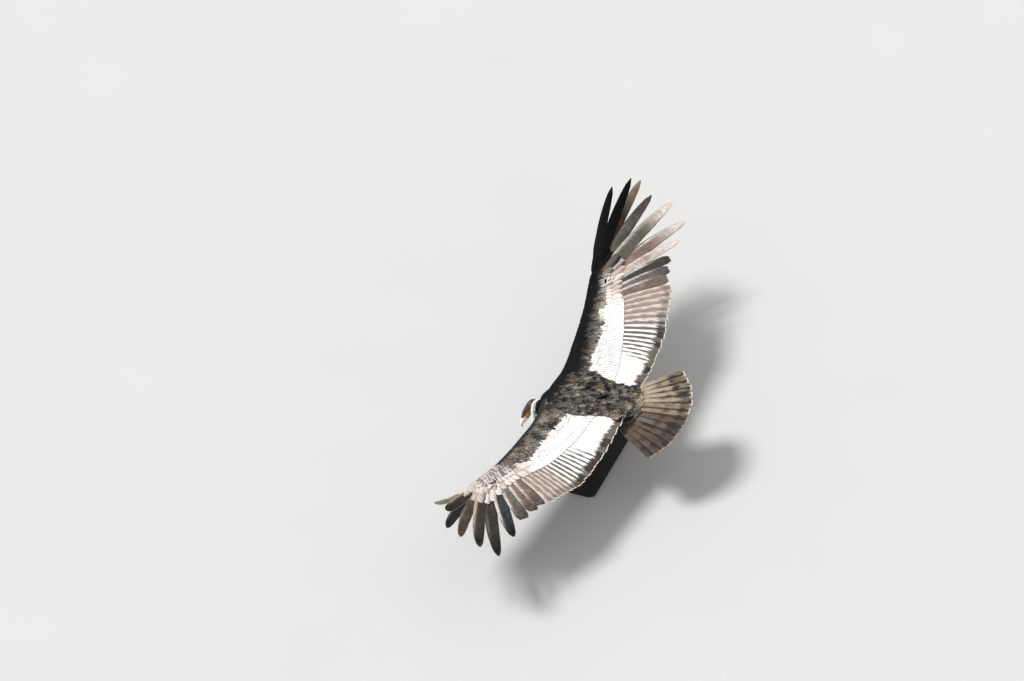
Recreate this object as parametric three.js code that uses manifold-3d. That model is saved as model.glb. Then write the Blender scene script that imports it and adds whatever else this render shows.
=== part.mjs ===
// An adult male Andean condor that soars, as a still, life-size museum model on a plain stand.
// Lengths are millimetres and angles are degrees. The bird has a frame of its own inside its
// group: +X to its left, -Y to its head, +Z to its back.
import * as THREE from "three";
import Module from "manifold-3d";
import { mergeVertices } from "three/addons/utils/BufferGeometryUtils.js";

const wasm = await Module();
wasm.setup();

// How the bird hangs over the middle of its base
const NOSE_DOWN = 9.8;
const LEFT_SIDE_DOWN = 2.4;
const BODY_HEIGHT = 370;
const BODY_FORWARD = 45;
const GAP = 0.3;

// Torso: place along the body, half width, half height, height of its middle
const TORSO = [
  [-178, 50, 42, -36],
  [-156, 92, 71, -33],
  [-106, 114, 94, -26],
  [-30, 128, 108, -14],
  [60, 130, 106, -4],
  [150, 132, 92, 4],
  [240, 128, 70, 8],
  [300, 118, 48, 15],
  [342, 98, 26, 21],
];
const TORSO_RINGS = 14;
const TORSO_SIDES = 22;

// Wing edges at four stations: distance from the midline, then how far forward and how high
const STATION = [70, 390, 680, 950];
const LEADING_EDGE = [[144, 46], [118, 76], [148, 113], [184, 174]];
const TRAILING_EDGE = [[-408, 72], [-370, 2], [-342, 18], [-302, 116]];
// The fleshy part at the same stations: share of the chord, thickness above and below
const WING_FLESH = [[0.54, 40, 26], [0.47, 25, 17], [0.33, 14, 10], [0.1, 5, 4]];
const CAMBER = 24;
const SHOULDER = 60;
const FINGER_END = 945;

// Flight feathers, one count from the innermost secondary out to the tenth primary
const SECONDARIES = 15;
const PRIMARIES = 10;
const BLUNT_PRIMARIES = 3;
const ROOT_FIRST = [114, -92];
const ROOT_ELBOW = [318, -50];
const ROOT_WRIST = [672, 86];
const ROOT_PRIMARY_FIRST = [702, 98];
const ROOT_PRIMARY_LAST = [922, 166];
const ELBOW_FEATHER = 4;
const SECONDARY_TIP_FIRST = 106;
const SECONDARY_TIP_LAST = 952;
// Primary tips: distance from the midline, forward, height, and the feather's width
const PRIMARY = [
  [1016, -256, 133, 74],
  [1084, -240, 145, 74],
  [1170, -214, 152, 76],
  [1327, -209, 150, 76],
  [1500, -182, 149, 78],
  [1549, -103, 247, 76],
  [1532, 14, 292, 66],
  [1556, 76, 374, 64],
  [1484, 96, 443, 60],
  [1419, 192, 422, 52],
];
const SECONDARY_WIDTH = [60, 80];
const VANE_THICK = [1.2, 0.8];
const VANE_STEP = 3.1;
const PRIMARY_BOW = 0.05;
const PRIMARY_OUTLINE = [
  [0, 0.2], [0.16, 0.4], [0.32, 0.9], [0.5, 1], [0.68, 0.96], [0.83, 0.78], [0.94, 0.46], [1, 0.1],
];
const SECONDARY_OUTLINE = [[0, 0.4], [0.22, 0.75], [0.45, 1], [0.72, 1], [0.95, 0.92], [1, 0.4]];
const COVERTS = 17;
const COVERT_OUTLINE = [[0, 0.5], [0.45, 0.9], [0.88, 0.95], [1, 0.4]];
const COVERT_REACH = [0.5, 0.4, 0.36];
const COVERT_LIFT = 8;

// Tail: twelve feathers that fan from a point inside the body
const TAIL_FEATHERS = 12;
const TAIL_PIVOT = [0, 200, 30];
const TAIL_HALF_FAN = 35;
const TAIL_TWIST = 13;
const TAIL_ROOT_REACH = 130;
const TAIL_REACH = [548, 512];
const TAIL_WIDTH = 70;
const TAIL_OUTLINE = [[0, 0.25], [0.3, 0.7], [0.85, 1], [0.96, 0.86], [1, 0.5]];
const TAIL_COVERTS = 7;
const TAIL_STEP = 1.5;
const TAIL_STUMP = [[0, 322, 22, 92, 23], [0, 352, 23, 112, 17], [0, 396, 22, 116, 11], [0, 436, 21, 96, 5]];

// Head frame: +X along the bill, +Y to its left, +Z to the crown
const HEAD_AT = [25, -225, -29];
const HEAD_TURN = 57;
const HEAD_DOWN = 36;
const SKULL = [
  [-50, 0, -4, 8, 8], [-40, 0, -1, 22, 21], [-20, 0, 2, 30, 29], [2, 0, 2, 31, 31],
  [24, 0, -1, 27, 28], [42, 0, -4, 20, 22], [56, 0, -6, 14, 16],
];
const BILL_UPPER = [
  [50, 0, 0, 14.5, 15], [66, 0, 1, 13.5, 13.5], [84, 0, 1, 12, 12.5], [99, 0, -3, 10, 11.5],
  [110, 0, -11, 7.5, 9.5], [115, 0, -21, 5, 7], [115, 0, -31, 2, 3],
];
const BILL_LOWER = [
  [46, 0, -17, 13, 8], [64, 0, -17, 12, 7.5], [82, 0, -17, 9.5, 6.5], [96, 0, -16.5, 6, 4.5],
  [103, 0, -15.5, 2.5, 2],
];
const COMB = [
  [-28, 0, 25, 3, 4], [-16, 0, 27, 7, 10], [8, 0, 27, 9, 15], [32, 0, 23, 9.5, 17],
  [54, 0, 17, 9, 14], [70, 0, 13, 7, 9], [78, 0, 12, 3, 4],
];
const COMB_FOLDS = 4;
const WATTLE = [
  [44, 0, -24, 4, 6], [24, 0, -31, 6, 11], [2, 0, -35, 7, 14], [-18, 0, -33, 7, 12], [-32, 0, -24, 4, 6],
];
const EYE_AT = [24, 21, 5];
const EYE_RADIUS = 8;
const LID = 2.2;
const NOSTRIL_AT = [71, 0, 2];
const NOSTRIL = [6.5, 40, 2.6];
const MOUTH = [16, 60, -11.5];
const MOUTH_OPEN = 1.2;

// Neck and the downy collar round it
const NECK = [
  [0, -104, -36, 50, 50], [6, -140, -43, 47, 45], [10, -172, -45, 39, 39], [9, -196, -39, 33, 33],
  [4, -214, -29, 23, 23],
];
const NECK_FOLDS = 5;
const COLLAR_AT = [26, -195, -54];
const COLLAR_AXIS = [0.12, -0.99, -0.04];
const COLLAR_CORE = [50, 15];
const COLLAR_BEND = 16;
// Full reach of the two tiers of locks, which stand out furthest on the left
const COLLAR_REACH = [87, 80];
const COLLAR_LEAN = 24;
const COLLAR_LEAN_WAY = 165;
const COLLAR_TIER_STEP = 9;
const COLLAR_LOCKS = 8;

// Legs, trailed under the tail with the toes loosely curled
const THIGH = [
  [58, 92, -66, 26, 30], [62, 150, -78, 36, 40], [60, 205, -72, 27, 29], [56, 250, -58, 15, 16],
];
const SHANK = [[56, 238, -61, 11, 12], [54, 300, -50, 9, 11], [52, 362, -42, 10, 12]];
const PALM = [[52, 356, -43, 9, 9], [52, 372, -43, 15, 12], [52, 388, -44, 12, 10]];
// Toes: sideways turn at the palm, length, thickness
const TOES = [[-24, 74, 6.5], [0, 104, 7.5], [24, 76, 6.5], [180, 34, 5.5]];
const TOE_CURL = 62;
const CLAW_LENGTH = 24;

// Stand
const BASE = [620, 460, 10];
const BASE_CORNER = 40;
const ROD_RADIUS = 9;
const ROD_FLANGE = [24, 6];
const ROD_PLACES = [-70, 95];
const ROD_DEPTH = 70;

const V = (p) => new THREE.Vector3(...p);
const RAD = Math.PI / 180;
const mix = (a, b, t) => a + (b - a) * t;
const ramp = (a, b, x) => Math.min(1, Math.max(0, (x - a) / (b - a)));

// A seeded draw between -1 and 1, so that like pieces differ a little
function drawer(seed) {
  let state = seed;
  return () => {
    state = (state * 16807) % 2147483647;
    return (state / 2147483647) * 2 - 1;
  };
}

// A smooth curve through the rows of a table, read at a share of its length
function read(table, share) {
  const at = share * (table.length - 1);
  const i = Math.min(Math.floor(at), table.length - 2);
  const f = at - i;
  const row = (k) => table[Math.max(0, Math.min(table.length - 1, k))];
  return table[0].map((_, j) => {
    const [a, b, c, d] = [row(i - 1)[j], row(i)[j], row(i + 1)[j], row(i + 2)[j]];
    return b + 0.5 * f * (c - a + f * (2 * a - 5 * b + 4 * c - d + f * (3 * (b - c) + d - a)));
  });
}

function geometry(points, triangles) {
  const shape = new THREE.BufferGeometry();
  shape.setAttribute("position", new THREE.Float32BufferAttribute(points.flatMap((p) => [...p]), 3));
  shape.setIndex(triangles.flat());
  return shape;
}

// Six times the volume that the triangles enclose, below zero where they face inwards
function signedVolume(vertices, triangles) {
  const corner = (k) => V(vertices.subarray(3 * triangles[k], 3 * triangles[k] + 3));
  let sum = 0;
  for (let k = 0; k < triangles.length; k += 3) {
    sum += corner(k).dot(corner(k + 1).cross(corner(k + 2)));
  }
  return sum;
}

// A closed geometry as a solid, with its faces turned outwards
function solid(shape, matrix) {
  const plain = shape.clone();
  for (const name of Object.keys(plain.attributes)) {
    if (name !== "position") plain.deleteAttribute(name);
  }
  const merged = mergeVertices(plain, 1e-4);
  if (matrix) merged.applyMatrix4(matrix);
  const vertProperties = new Float32Array(merged.attributes.position.array);
  const triVerts = new Uint32Array(merged.index.array);
  if (signedVolume(vertProperties, triVerts) < 0) {
    for (let k = 0; k < triVerts.length; k += 3) {
      [triVerts[k + 1], triVerts[k + 2]] = [triVerts[k + 2], triVerts[k + 1]];
    }
  }
  return new wasm.Manifold(new wasm.Mesh({ numProp: 3, vertProperties, triVerts }));
}

const join = (pieces) => wasm.Manifold.union(pieces);
const cut = (piece, tools) => tools.reduce((left, tool) => left.subtract(tool), piece);

// The largest closed body of a solid
function largest(piece) {
  const bodies = piece.decompose();
  return bodies.reduce((best, next) => (next.volume() > best.volume() ? next : best));
}

// A skin over rings of equal count, closed by a fan at each end
function loft(rings) {
  const sides = rings[0].length;
  const points = rings.flat();
  const triangles = [];
  for (let k = 0; k + 1 < rings.length; k += 1) {
    for (let j = 0; j < sides; j += 1) {
      const a = k * sides + j;
      const b = k * sides + ((j + 1) % sides);
      triangles.push([a, b, b + sides], [a, b + sides, a + sides]);
    }
  }
  for (const [start, turn] of [[0, 1], [(rings.length - 1) * sides, -1]]) {
    const ring = points.slice(start, start + sides);
    const middle = ring.reduce((sum, p) => sum.add(p), new THREE.Vector3()).divideScalar(sides);
    const hub = points.push(middle) - 1;
    for (let j = 0; j < sides; j += 1) {
      const pair = [start + j, start + ((j + 1) % sides)];
      triangles.push(turn > 0 ? [hub, pair[1], pair[0]] : [hub, pair[0], pair[1]]);
    }
  }
  return geometry(points, triangles);
}

// A rounded body along a path. Each row gives a point, the half width and the half height.
function bodyAlong(table, { sides = 12, rings = 8, up = [0, 0, 1], grow = 0, folds = 0, foldDepth = 0 }) {
  const shape = [];
  for (let k = 0; k <= rings; k += 1) {
    const share = k / rings;
    const row = read(table, share);
    const step = 0.01;
    const ahead = V(read(table, Math.min(1, share + step)));
    const way = ahead.sub(V(read(table, Math.max(0, share - step)))).normalize();
    const across = new THREE.Vector3().crossVectors(way, V(up)).normalize();
    const high = new THREE.Vector3().crossVectors(across, way);
    const pinch = 1 - foldDepth * (0.5 + 0.5 * Math.cos(2 * Math.PI * folds * share));
    const end = (k === rings ? grow : 0) - (k === 0 ? grow : 0);
    const middle = V(row).addScaledVector(way, end);
    shape.push(Array.from({ length: sides }, (_, j) => {
      const angle = (2 * Math.PI * j) / sides;
      return middle.clone()
        .addScaledVector(across, (row[3] * pinch + grow) * Math.cos(angle))
        .addScaledVector(high, (row[4] * pinch + grow) * Math.sin(angle));
    }));
  }
  return loft(shape);
}

// A thin plate from its sections, each a row of points above and a row below. Both faces are
// split into triangles alike, so that they never cross.
function plate(sections) {
  const columns = sections[0].above.length;
  const points = sections.flatMap(({ above, below }) => [...above, ...below]);
  const at = (k, row, j) => (2 * k + row) * columns + j;
  const triangles = [];
  const quad = (a, b, c, d) => triangles.push([a, b, c], [a, c, d]);
  for (let k = 0; k + 1 < sections.length; k += 1) {
    for (let j = 0; j + 1 < columns; j += 1) {
      quad(at(k, 0, j), at(k, 0, j + 1), at(k + 1, 0, j + 1), at(k + 1, 0, j));
      triangles.push([at(k, 1, j), at(k + 1, 1, j + 1), at(k, 1, j + 1)]);
      triangles.push([at(k, 1, j), at(k + 1, 1, j), at(k + 1, 1, j + 1)]);
    }
    quad(at(k, 1, 0), at(k, 0, 0), at(k + 1, 0, 0), at(k + 1, 1, 0));
    const edge = columns - 1;
    quad(at(k, 0, edge), at(k, 1, edge), at(k + 1, 1, edge), at(k + 1, 0, edge));
  }
  const last = sections.length - 1;
  for (let j = 0; j + 1 < columns; j += 1) {
    quad(at(0, 0, j + 1), at(0, 0, j), at(0, 1, j), at(0, 1, j + 1));
    quad(at(last, 0, j), at(last, 0, j + 1), at(last, 1, j + 1), at(last, 1, j));
  }
  return geometry(points, triangles);
}

// A feather or lock. The frame at each share gives its middle, its across way and the way out
// of its upper face; the outline gives the share of the full width.
function vane(frameAt, outline, width, thick) {
  return plate(outline.map(([share, part]) => {
    const { middle, across, out } = frameAt(share);
    const half = (width * part) / 2;
    const up = mix(thick[0], thick[1], share) / 2;
    const point = (side, level) => middle.clone()
      .addScaledVector(across, side * half)
      .addScaledVector(out, level * up);
    return { above: [point(-1, 1), point(1, 1)], below: [point(-1, -1), point(1, -1)] };
  }));
}

// The torso, from a table of sections that are a little squarer than ellipses
function torsoShape(grow) {
  const square = 0.84;
  const rings = [];
  for (let k = 0; k <= TORSO_RINGS; k += 1) {
    const [along, half, high, middle] = read(TORSO, k / TORSO_RINGS);
    const end = (k === TORSO_RINGS ? grow : 0) - (k === 0 ? grow : 0);
    rings.push(Array.from({ length: TORSO_SIDES }, (_, j) => {
      const angle = (2 * Math.PI * j) / TORSO_SIDES;
      const bend = (x) => Math.sign(x) * Math.abs(x) ** square;
      const x = (half + grow) * bend(Math.cos(angle));
      return V([x, along + end, middle + (high + grow) * bend(Math.sin(angle))]);
    }));
  }
  return loft(rings);
}

// The wing's edges, flesh and middle surface at a distance from the midline
function wingAt(table, outward) {
  const last = STATION.length - 1;
  let k = 0;
  while (k < last - 1 && outward > STATION[k + 1]) k += 1;
  const part = (outward - STATION[k]) / (STATION[k + 1] - STATION[k]);
  return read(table, Math.min(1, Math.max(0, (k + part) / last)));
}

function wingHeight(outward, forward) {
  const [front, frontHigh] = wingAt(LEADING_EDGE, outward);
  const [rear, rearHigh] = wingAt(TRAILING_EDGE, outward);
  const share = (front - forward) / (front - rear);
  return mix(frontHigh, rearHigh, share) + CAMBER * 4 * share * (1 - share) * (1 - share);
}

// A section of the fleshy wing: a rounded front edge, thin behind
function wingSection(outward, grow) {
  const [front] = wingAt(LEADING_EDGE, outward);
  const [rear] = wingAt(TRAILING_EDGE, outward);
  const [reach, above, below] = wingAt(WING_FLESH, outward);
  const shares = [0, 0.09, 0.34, 0.68, 1];
  const thick = (x) => 1.25 * Math.sqrt(x) * (1 - x) ** 0.8 * 1.5;
  const point = (x, level) => {
    const out = x === 0 ? grow : x === 1 ? -grow : 0;
    const forward = front - (front - rear) * reach * x + out;
    const edge = x === 0 ? 0 : 1.2;
    const rise = level * (thick(x) * (level > 0 ? above : below) + edge + grow);
    return V([outward, -forward, wingHeight(outward, forward) + rise]);
  };
  return [...shares.map((x) => point(x, 1)), ...shares.slice(1).reverse().map((x) => point(x, -1))];
}

// The fleshy wing between two distances from the midline. The cut at the wrist slants back and
// outwards, between the last secondary and the first primary.
function wingFlesh(from, to, steps, slantFrom, slantTo, grow) {
  const rings = [];
  for (let k = 0; k <= steps; k += 1) {
    const share = k / steps;
    const end = (k === steps ? grow : 0) - (k === 0 ? grow : 0);
    const outward = mix(from, to, share) + end;
    const slant = Math.tan(mix(slantFrom, slantTo, share) * RAD);
    rings.push(wingSection(outward, grow).map((p) => {
      const x = outward + (p.y + 90) * slant;
      return V([x, p.y, p.z + wingHeight(x, -p.y) - wingHeight(outward, -p.y)]);
    }));
  }
  return loft(rings);
}

// Where each flight feather starts in the wing and where its tip lies
function flightFeathers(draw) {
  const feathers = [];
  for (let k = 0; k < SECONDARIES; k += 1) {
    const share = k / (SECONDARIES - 1);
    const inner = ramp(0, ELBOW_FEATHER, k);
    const outer = ramp(ELBOW_FEATHER, SECONDARIES - 1, k);
    const rootOut = k < ELBOW_FEATHER
      ? mix(ROOT_FIRST[0], ROOT_ELBOW[0], inner)
      : mix(ROOT_ELBOW[0], ROOT_WRIST[0], outer);
    const rootForward = k < ELBOW_FEATHER
      ? mix(ROOT_FIRST[1], ROOT_ELBOW[1], inner)
      : mix(ROOT_ELBOW[1], ROOT_WRIST[1], outer);
    const tipOut = mix(SECONDARY_TIP_FIRST, SECONDARY_TIP_LAST, 0.76 * share + 0.24 * share * share);
    const [tipForward, tipHigh] = wingAt(TRAILING_EDGE, tipOut);
    const width = mix(SECONDARY_WIDTH[0], SECONDARY_WIDTH[1], share) * (1 + 0.03 * draw());
    const tip = V([tipOut, -tipForward - 2.5 * draw(), tipHigh]);
    feathers.push({ root: [rootOut, rootForward], tip, width, bow: 0.01, rise: 1, bulge: 16 });
  }
  for (let k = 0; k < PRIMARIES; k += 1) {
    const share = k / (PRIMARIES - 1);
    const [tipOut, tipForward, tipHigh, width] = PRIMARY[k];
    const free = ramp(2, 4, k);
    const root = [0, 1].map((j) => mix(ROOT_PRIMARY_FIRST[j], ROOT_PRIMARY_LAST[j], share));
    const tip = V([tipOut, -tipForward, tipHigh]);
    const bow = PRIMARY_BOW * mix(0.4, 1, share);
    feathers.push({ root, tip, width, bow, rise: mix(1, 1.7, share), bulge: mix(16, 6, share), free });
  }
  return feathers.map(({ root: [outward, forward], ...feather }) => (
    { free: 0, ...feather, start: V([outward, -forward, wingHeight(outward, forward)]) }
  ));
}

// A row of a given count spread evenly over another row of feathers
function resampled(feathers, count) {
  return Array.from({ length: count }, (_, k) => {
    const at = (k * (feathers.length - 1)) / (count - 1);
    const low = Math.min(Math.floor(at), feathers.length - 2);
    const [a, b] = [feathers[low], feathers[low + 1]];
    const feather = { start: a.start.clone().lerp(b.start, at - low), tip: a.tip.clone().lerp(b.tip, at - low), at };
    for (const name of ["width", "bow", "rise", "bulge", "free"]) feather[name] = mix(a[name], b[name], at - low);
    return feather;
  });
}

// A point on a feather's midline, which bows to the front and then bends up to its tip
function midline(feather, share) {
  const { start, tip, bow, rise, bulge } = feather;
  const point = new THREE.Vector3().lerpVectors(start, tip, share);
  const arch = 4 * share * (1 - share);
  point.x += bow * arch * (tip.y - start.y);
  point.y -= bow * arch * (tip.x - start.x);
  point.z = mix(start.z, tip.z, share ** rise) + bulge * arch;
  return point;
}

// The frame of feather k in a row of them: it lies in the sheet of its neighbours, each one
// tilted so that its outer edge rides over the next one out
function feathersFrame(feathers, k, share, reach, lift, side) {
  const next = feathers[Math.min(k + 1, feathers.length - 1)];
  const before = feathers[Math.max(k - 1, 0)];
  const count = Math.min(k + 1, feathers.length - 1) - Math.max(k - 1, 0);
  const at = share * reach;
  const middle = midline(feathers[k], at);
  const near = 0.02;
  const way = midline(feathers[k], Math.min(1, at + near))
    .sub(midline(feathers[k], Math.max(0, at - near))).normalize();
  const spread = midline(next, at).sub(midline(before, at)).divideScalar(count);
  spread.z *= 1 - 0.7 * feathers[k].free * ramp(0.55, 0.9, at);
  spread.addScaledVector(way, -spread.dot(way));
  const pitch = spread.length();
  const across = spread.normalize();
  const out = new THREE.Vector3().crossVectors(across, way);
  if (out.z < 0) out.negate();
  middle.addScaledVector(out, lift);
  across.addScaledVector(out, VANE_STEP / pitch);
  for (const vector of [middle, across, out]) vector.x *= side;
  return { middle, across, out };
}

function mirrored(shape, side) {
  return side > 0 ? shape : shape.clone().scale(-1, 1, 1);
}

// One wing as its two nodes. The coverts are one to each flight feather, above it.
function wing(side, seed, torso) {
  const feathers = flightFeathers(drawer(seed));
  const flight = (k) => vane(
    (share) => feathersFrame(feathers, k, share, 1, 0, side),
    k < SECONDARIES + BLUNT_PRIMARIES ? SECONDARY_OUTLINE : PRIMARY_OUTLINE, feathers[k].width, VANE_THICK,
  );
  const above = resampled(feathers, COVERTS);
  const covert = (k) => {
    const reach = above[k].at < SECONDARIES
      ? mix(COVERT_REACH[0], COVERT_REACH[1], ramp(0, SECONDARIES, above[k].at))
      : mix(COVERT_REACH[1], COVERT_REACH[2], ramp(SECONDARIES, SECONDARIES + PRIMARIES, above[k].at));
    return vane(
      (share) => feathersFrame(above, k, share, reach, COVERT_LIFT, side),
      COVERT_OUTLINE, 0.95 * above[k].width, VANE_THICK,
    );
  };
  const split = above.findIndex(({ at }) => at > SECONDARIES - 0.5);
  const slant = 38;
  const wrist = (ROOT_WRIST[0] + ROOT_PRIMARY_FIRST[0]) / 2;
  const arm = (grow) => solid(mirrored(wingFlesh(SHOULDER, wrist - GAP / 2, 8, 0, slant, grow), side));
  const hand = (grow) => solid(mirrored(wingFlesh(wrist + GAP / 2, FINGER_END, 5, slant, 0, grow), side));
  const row = (from, to, make) => Array.from({ length: to - from }, (_, k) => solid(make(from + k)));
  const all = SECONDARIES + PRIMARIES;
  const innerVanes = cut(join([...row(0, SECONDARIES, flight), ...row(0, split, covert)]), [hand(GAP)]);
  const outerVanes = cut(join([...row(SECONDARIES, all, flight), ...row(split, COVERTS, covert)]), [arm(GAP)]);
  return {
    inner: largest(cut(join([arm(0), innerVanes]), [torso])),
    outer: largest(join([hand(0), outerVanes])),
  };
}

// The tail fan. Feathers lie in a stack, the middle pair on top.
function tail(torso) {
  const turn = new THREE.Matrix4().makeRotationY(TAIL_TWIST * RAD);
  const pivot = V(TAIL_PIVOT);
  const draw = drawer(29);
  const fan = (place, level, from, to, width, outline, droop) => {
    const angle = place * TAIL_HALF_FAN * RAD;
    const way = V([Math.sin(angle), Math.cos(angle), 0]);
    const across = V([Math.cos(angle), -Math.sin(angle), 0]);
    const frame = (share) => {
      const middle = way.clone().multiplyScalar(mix(from, to, share));
      middle.z = level - droop * share * share;
      return {
        middle: middle.applyMatrix4(turn).add(pivot),
        across: across.clone().applyMatrix4(turn),
        out: V([0, 0, 1]).applyMatrix4(turn),
      };
    };
    return solid(vane(frame, outline, width, VANE_THICK));
  };
  const vanes = [];
  const half = TAIL_FEATHERS / 2;
  for (let k = 0; k < half; k += 1) {
    for (const side of [-1, 1]) {
      const place = (side * (k + 0.5)) / (half - 0.5);
      const level = -TAIL_STEP * (2 * k + (side > 0 ? 1 : 0));
      const reach = mix(TAIL_REACH[0], TAIL_REACH[1], (k / (half - 1)) ** 2) + 3 * draw();
      vanes.push(fan(place, level, TAIL_ROOT_REACH, reach, TAIL_WIDTH, TAIL_OUTLINE, 14));
    }
  }
  for (let k = 0; k < TAIL_COVERTS; k += 1) {
    const place = (2 * k) / (TAIL_COVERTS - 1) - 1;
    const level = 4 + 2 * (k % 2);
    const reach = 265 - 30 * place * place;
    vanes.push(fan(0.8 * place, level, TAIL_ROOT_REACH, reach, 46, COVERT_OUTLINE, 0));
  }
  const stump = bodyAlong(
    TAIL_STUMP, { sides: 16, rings: 5, up: [0.22, 0, 0.97] },
  );
  return largest(cut(join([solid(stump), ...vanes]), [torso]));
}

// Head frame: the bill's way, the left and the crown, as they stand in the bird
function headMatrix() {
  const turned = V([Math.sin(HEAD_TURN * RAD), -Math.cos(HEAD_TURN * RAD), 0]);
  const top = V([0, 0, 1]);
  const bill = turned.clone().multiplyScalar(Math.cos(HEAD_DOWN * RAD));
  bill.addScaledVector(top, -Math.sin(HEAD_DOWN * RAD));
  const crown = turned.clone().multiplyScalar(Math.sin(HEAD_DOWN * RAD));
  crown.addScaledVector(top, Math.cos(HEAD_DOWN * RAD));
  const left = new THREE.Vector3().crossVectors(crown, bill);
  return new THREE.Matrix4().makeBasis(bill, left, crown).setPosition(...HEAD_AT);
}

const inHead = headMatrix();

function ball(radius, at, across, down, scale = [1, 1, 1]) {
  const shape = new THREE.SphereGeometry(radius, across, down);
  return shape.scale(...scale).translate(...at);
}

function billUpper(grow) {
  return solid(bodyAlong(BILL_UPPER, { sides: 10, rings: 9, grow }), inHead);
}

function billLower(grow) {
  return solid(bodyAlong(BILL_LOWER, { sides: 10, rings: 5, grow }), inHead);
}

function skull(grow) {
  return solid(bodyAlong(SKULL, { sides: 14, rings: 9, grow }), inHead);
}

function wattle(grow) {
  return bodyAlong(WATTLE, { sides: 8, rings: 8, grow, folds: 4, foldDepth: 0.2 });
}

// The bare skull with the throat wattle and a fold of skin behind each cheek
function headFlesh(grow) {
  const folds = [-1, 1].map((side) => {
    const rows = [[-6, 0.74], [-20, 0.9], [-34, 0.8]].map(([x, part]) => [x, side * 31 * part, -8, 3, 9]);
    return solid(bodyAlong(rows, { sides: 6, rings: 3, grow }), inHead);
  });
  return join([skull(grow), solid(wattle(grow), inHead), ...folds]);
}

// The head: lids round the eye sockets, and the line of the mouth
function head() {
  const lids = [];
  const sockets = [];
  for (const side of [-1, 1]) {
    const at = [EYE_AT[0], side * EYE_AT[1], EYE_AT[2]];
    const lid = new THREE.TorusGeometry(EYE_RADIUS + LID / 3, LID, 4, 10);
    lid.rotateX(Math.PI / 2).rotateZ(-side * 12 * RAD).scale(1.12, 1, 0.92);
    lid.translate(at[0], at[1] + side * 5.2, at[2]);
    lids.push(solid(lid, inHead));
    sockets.push(solid(ball(EYE_RADIUS + GAP, at, 10, 7), inHead));
  }
  const [from, to, level] = MOUTH;
  const slot = new THREE.BoxGeometry(to - from, 60, MOUTH_OPEN).translate((from + to) / 2, 0, level);
  return cut(join([headFlesh(0), ...lids]), [...sockets, solid(slot, inHead)]);
}

// The fleshy comb, with a row of swellings along each side
function comb() {
  const draw = drawer(11);
  const pieces = [solid(bodyAlong(COMB, { sides: 10, rings: 9 }), inHead)];
  for (let k = 0; k < COMB_FOLDS; k += 1) {
    const [x, , z, half, high] = read(COMB, (k + 0.6) / COMB_FOLDS);
    for (const side of [-1, 1]) {
      const at = [x + 2 * draw(), side * half * 0.62, z + high * (0.3 + 0.35 * draw())];
      pieces.push(solid(ball(8.5, at, 6, 4), inHead));
    }
  }
  return join(pieces);
}

// The neck, ringed by folds of bare skin
function neck(grow) {
  return solid(bodyAlong(NECK, { sides: 12, rings: 10, grow, folds: NECK_FOLDS, foldDepth: 0.07 }));
}

// The downy collar: a soft ring with two tiers of flat locks that bend back over the breast
function collar() {
  const axis = V(COLLAR_AXIS).normalize();
  const first = new THREE.Vector3().crossVectors(axis, V([0, 0, 1])).normalize();
  const second = new THREE.Vector3().crossVectors(axis, first);
  const matrix = new THREE.Matrix4().makeBasis(first, second, axis).setPosition(...COLLAR_AT);
  const core = new THREE.TorusGeometry(COLLAR_CORE[0], COLLAR_CORE[1], 5, 10);
  const pieces = [solid(core, matrix)];
  const draw = drawer(5);
  COLLAR_REACH.forEach((full, tier) => {
    for (let k = 0; k < COLLAR_LOCKS; k += 1) {
      const angle = ((k + tier / COLLAR_REACH.length) / COLLAR_LOCKS) * 2 * Math.PI;
      const spoke = V([Math.cos(angle), Math.sin(angle), 0]);
      const across = V([-Math.sin(angle), Math.cos(angle), 0]);
      const reach = full * (1 + 0.05 * draw()) + COLLAR_LEAN * Math.cos(angle - COLLAR_LEAN_WAY * RAD);
      const frame = (share) => {
        const middle = spoke.clone().multiplyScalar(mix(COLLAR_CORE[0], reach, share));
        middle.z = COLLAR_TIER_STEP * (tier - 0.5) - COLLAR_BEND * share * share;
        return { middle, across, out: V([0, 0, 1]).addScaledVector(spoke, 0.5 * share).normalize() };
      };
      const width = (2 * Math.PI * reach * 0.93) / COLLAR_LOCKS;
      pieces.push(solid(vane(frame, [[0, 0.55], [0.55, 0.9], [1, 0.25]], width, [6, 1.6]), matrix));
    }
  });
  return join(pieces);
}

// One leg: the feathered thigh and the bare shank
function leg(side) {
  const shape = (table, sides, rings) => solid(mirrored(bodyAlong(table, { sides, rings }), side));
  return join([shape(THIGH, 11, 5), shape(SHANK, 8, 3)]);
}

// One foot: the palm with four toes, each ending in a claw
function foot(side, grow) {
  const pieces = [solid(mirrored(bodyAlong(PALM, { sides: 8, rings: 3, grow }), side))];
  const palm = V(PALM[1].slice(0, 3));
  for (const [turn, length, thick] of TOES) {
    const rows = [];
    const way = V([Math.sin(turn * RAD) * 0.75, Math.cos(turn * RAD), 0]);
    const point = palm.clone();
    const steps = 6;
    for (let k = 0; k <= steps; k += 1) {
      const angle = (TOE_CURL * RAD * k) / steps;
      rows.push([...point, thick * mix(1, 0.8, k / steps), thick * mix(1, 0.72, k / steps)]);
      point.addScaledVector(way, (length / steps) * Math.cos(angle));
      point.z -= (length / steps) * Math.sin(angle);
    }
    pieces.push(solid(mirrored(bodyAlong(rows, { sides: 6, rings: 4, grow }), side)));
    const claw = [];
    const tip = V(rows[steps]);
    for (let k = 0; k <= 3; k += 1) {
      const angle = (TOE_CURL + 22 * k) * RAD;
      claw.push([...tip, thick * mix(0.72, 0.18, k / 3), thick * mix(0.72, 0.18, k / 3)]);
      tip.addScaledVector(way, (CLAW_LENGTH / 3) * Math.cos(angle));
      tip.z -= (CLAW_LENGTH / 3) * Math.sin(angle);
    }
    pieces.push(solid(mirrored(bodyAlong(claw, { sides: 5, rings: 3, grow }), side)));
  }
  return join(pieces);
}

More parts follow.
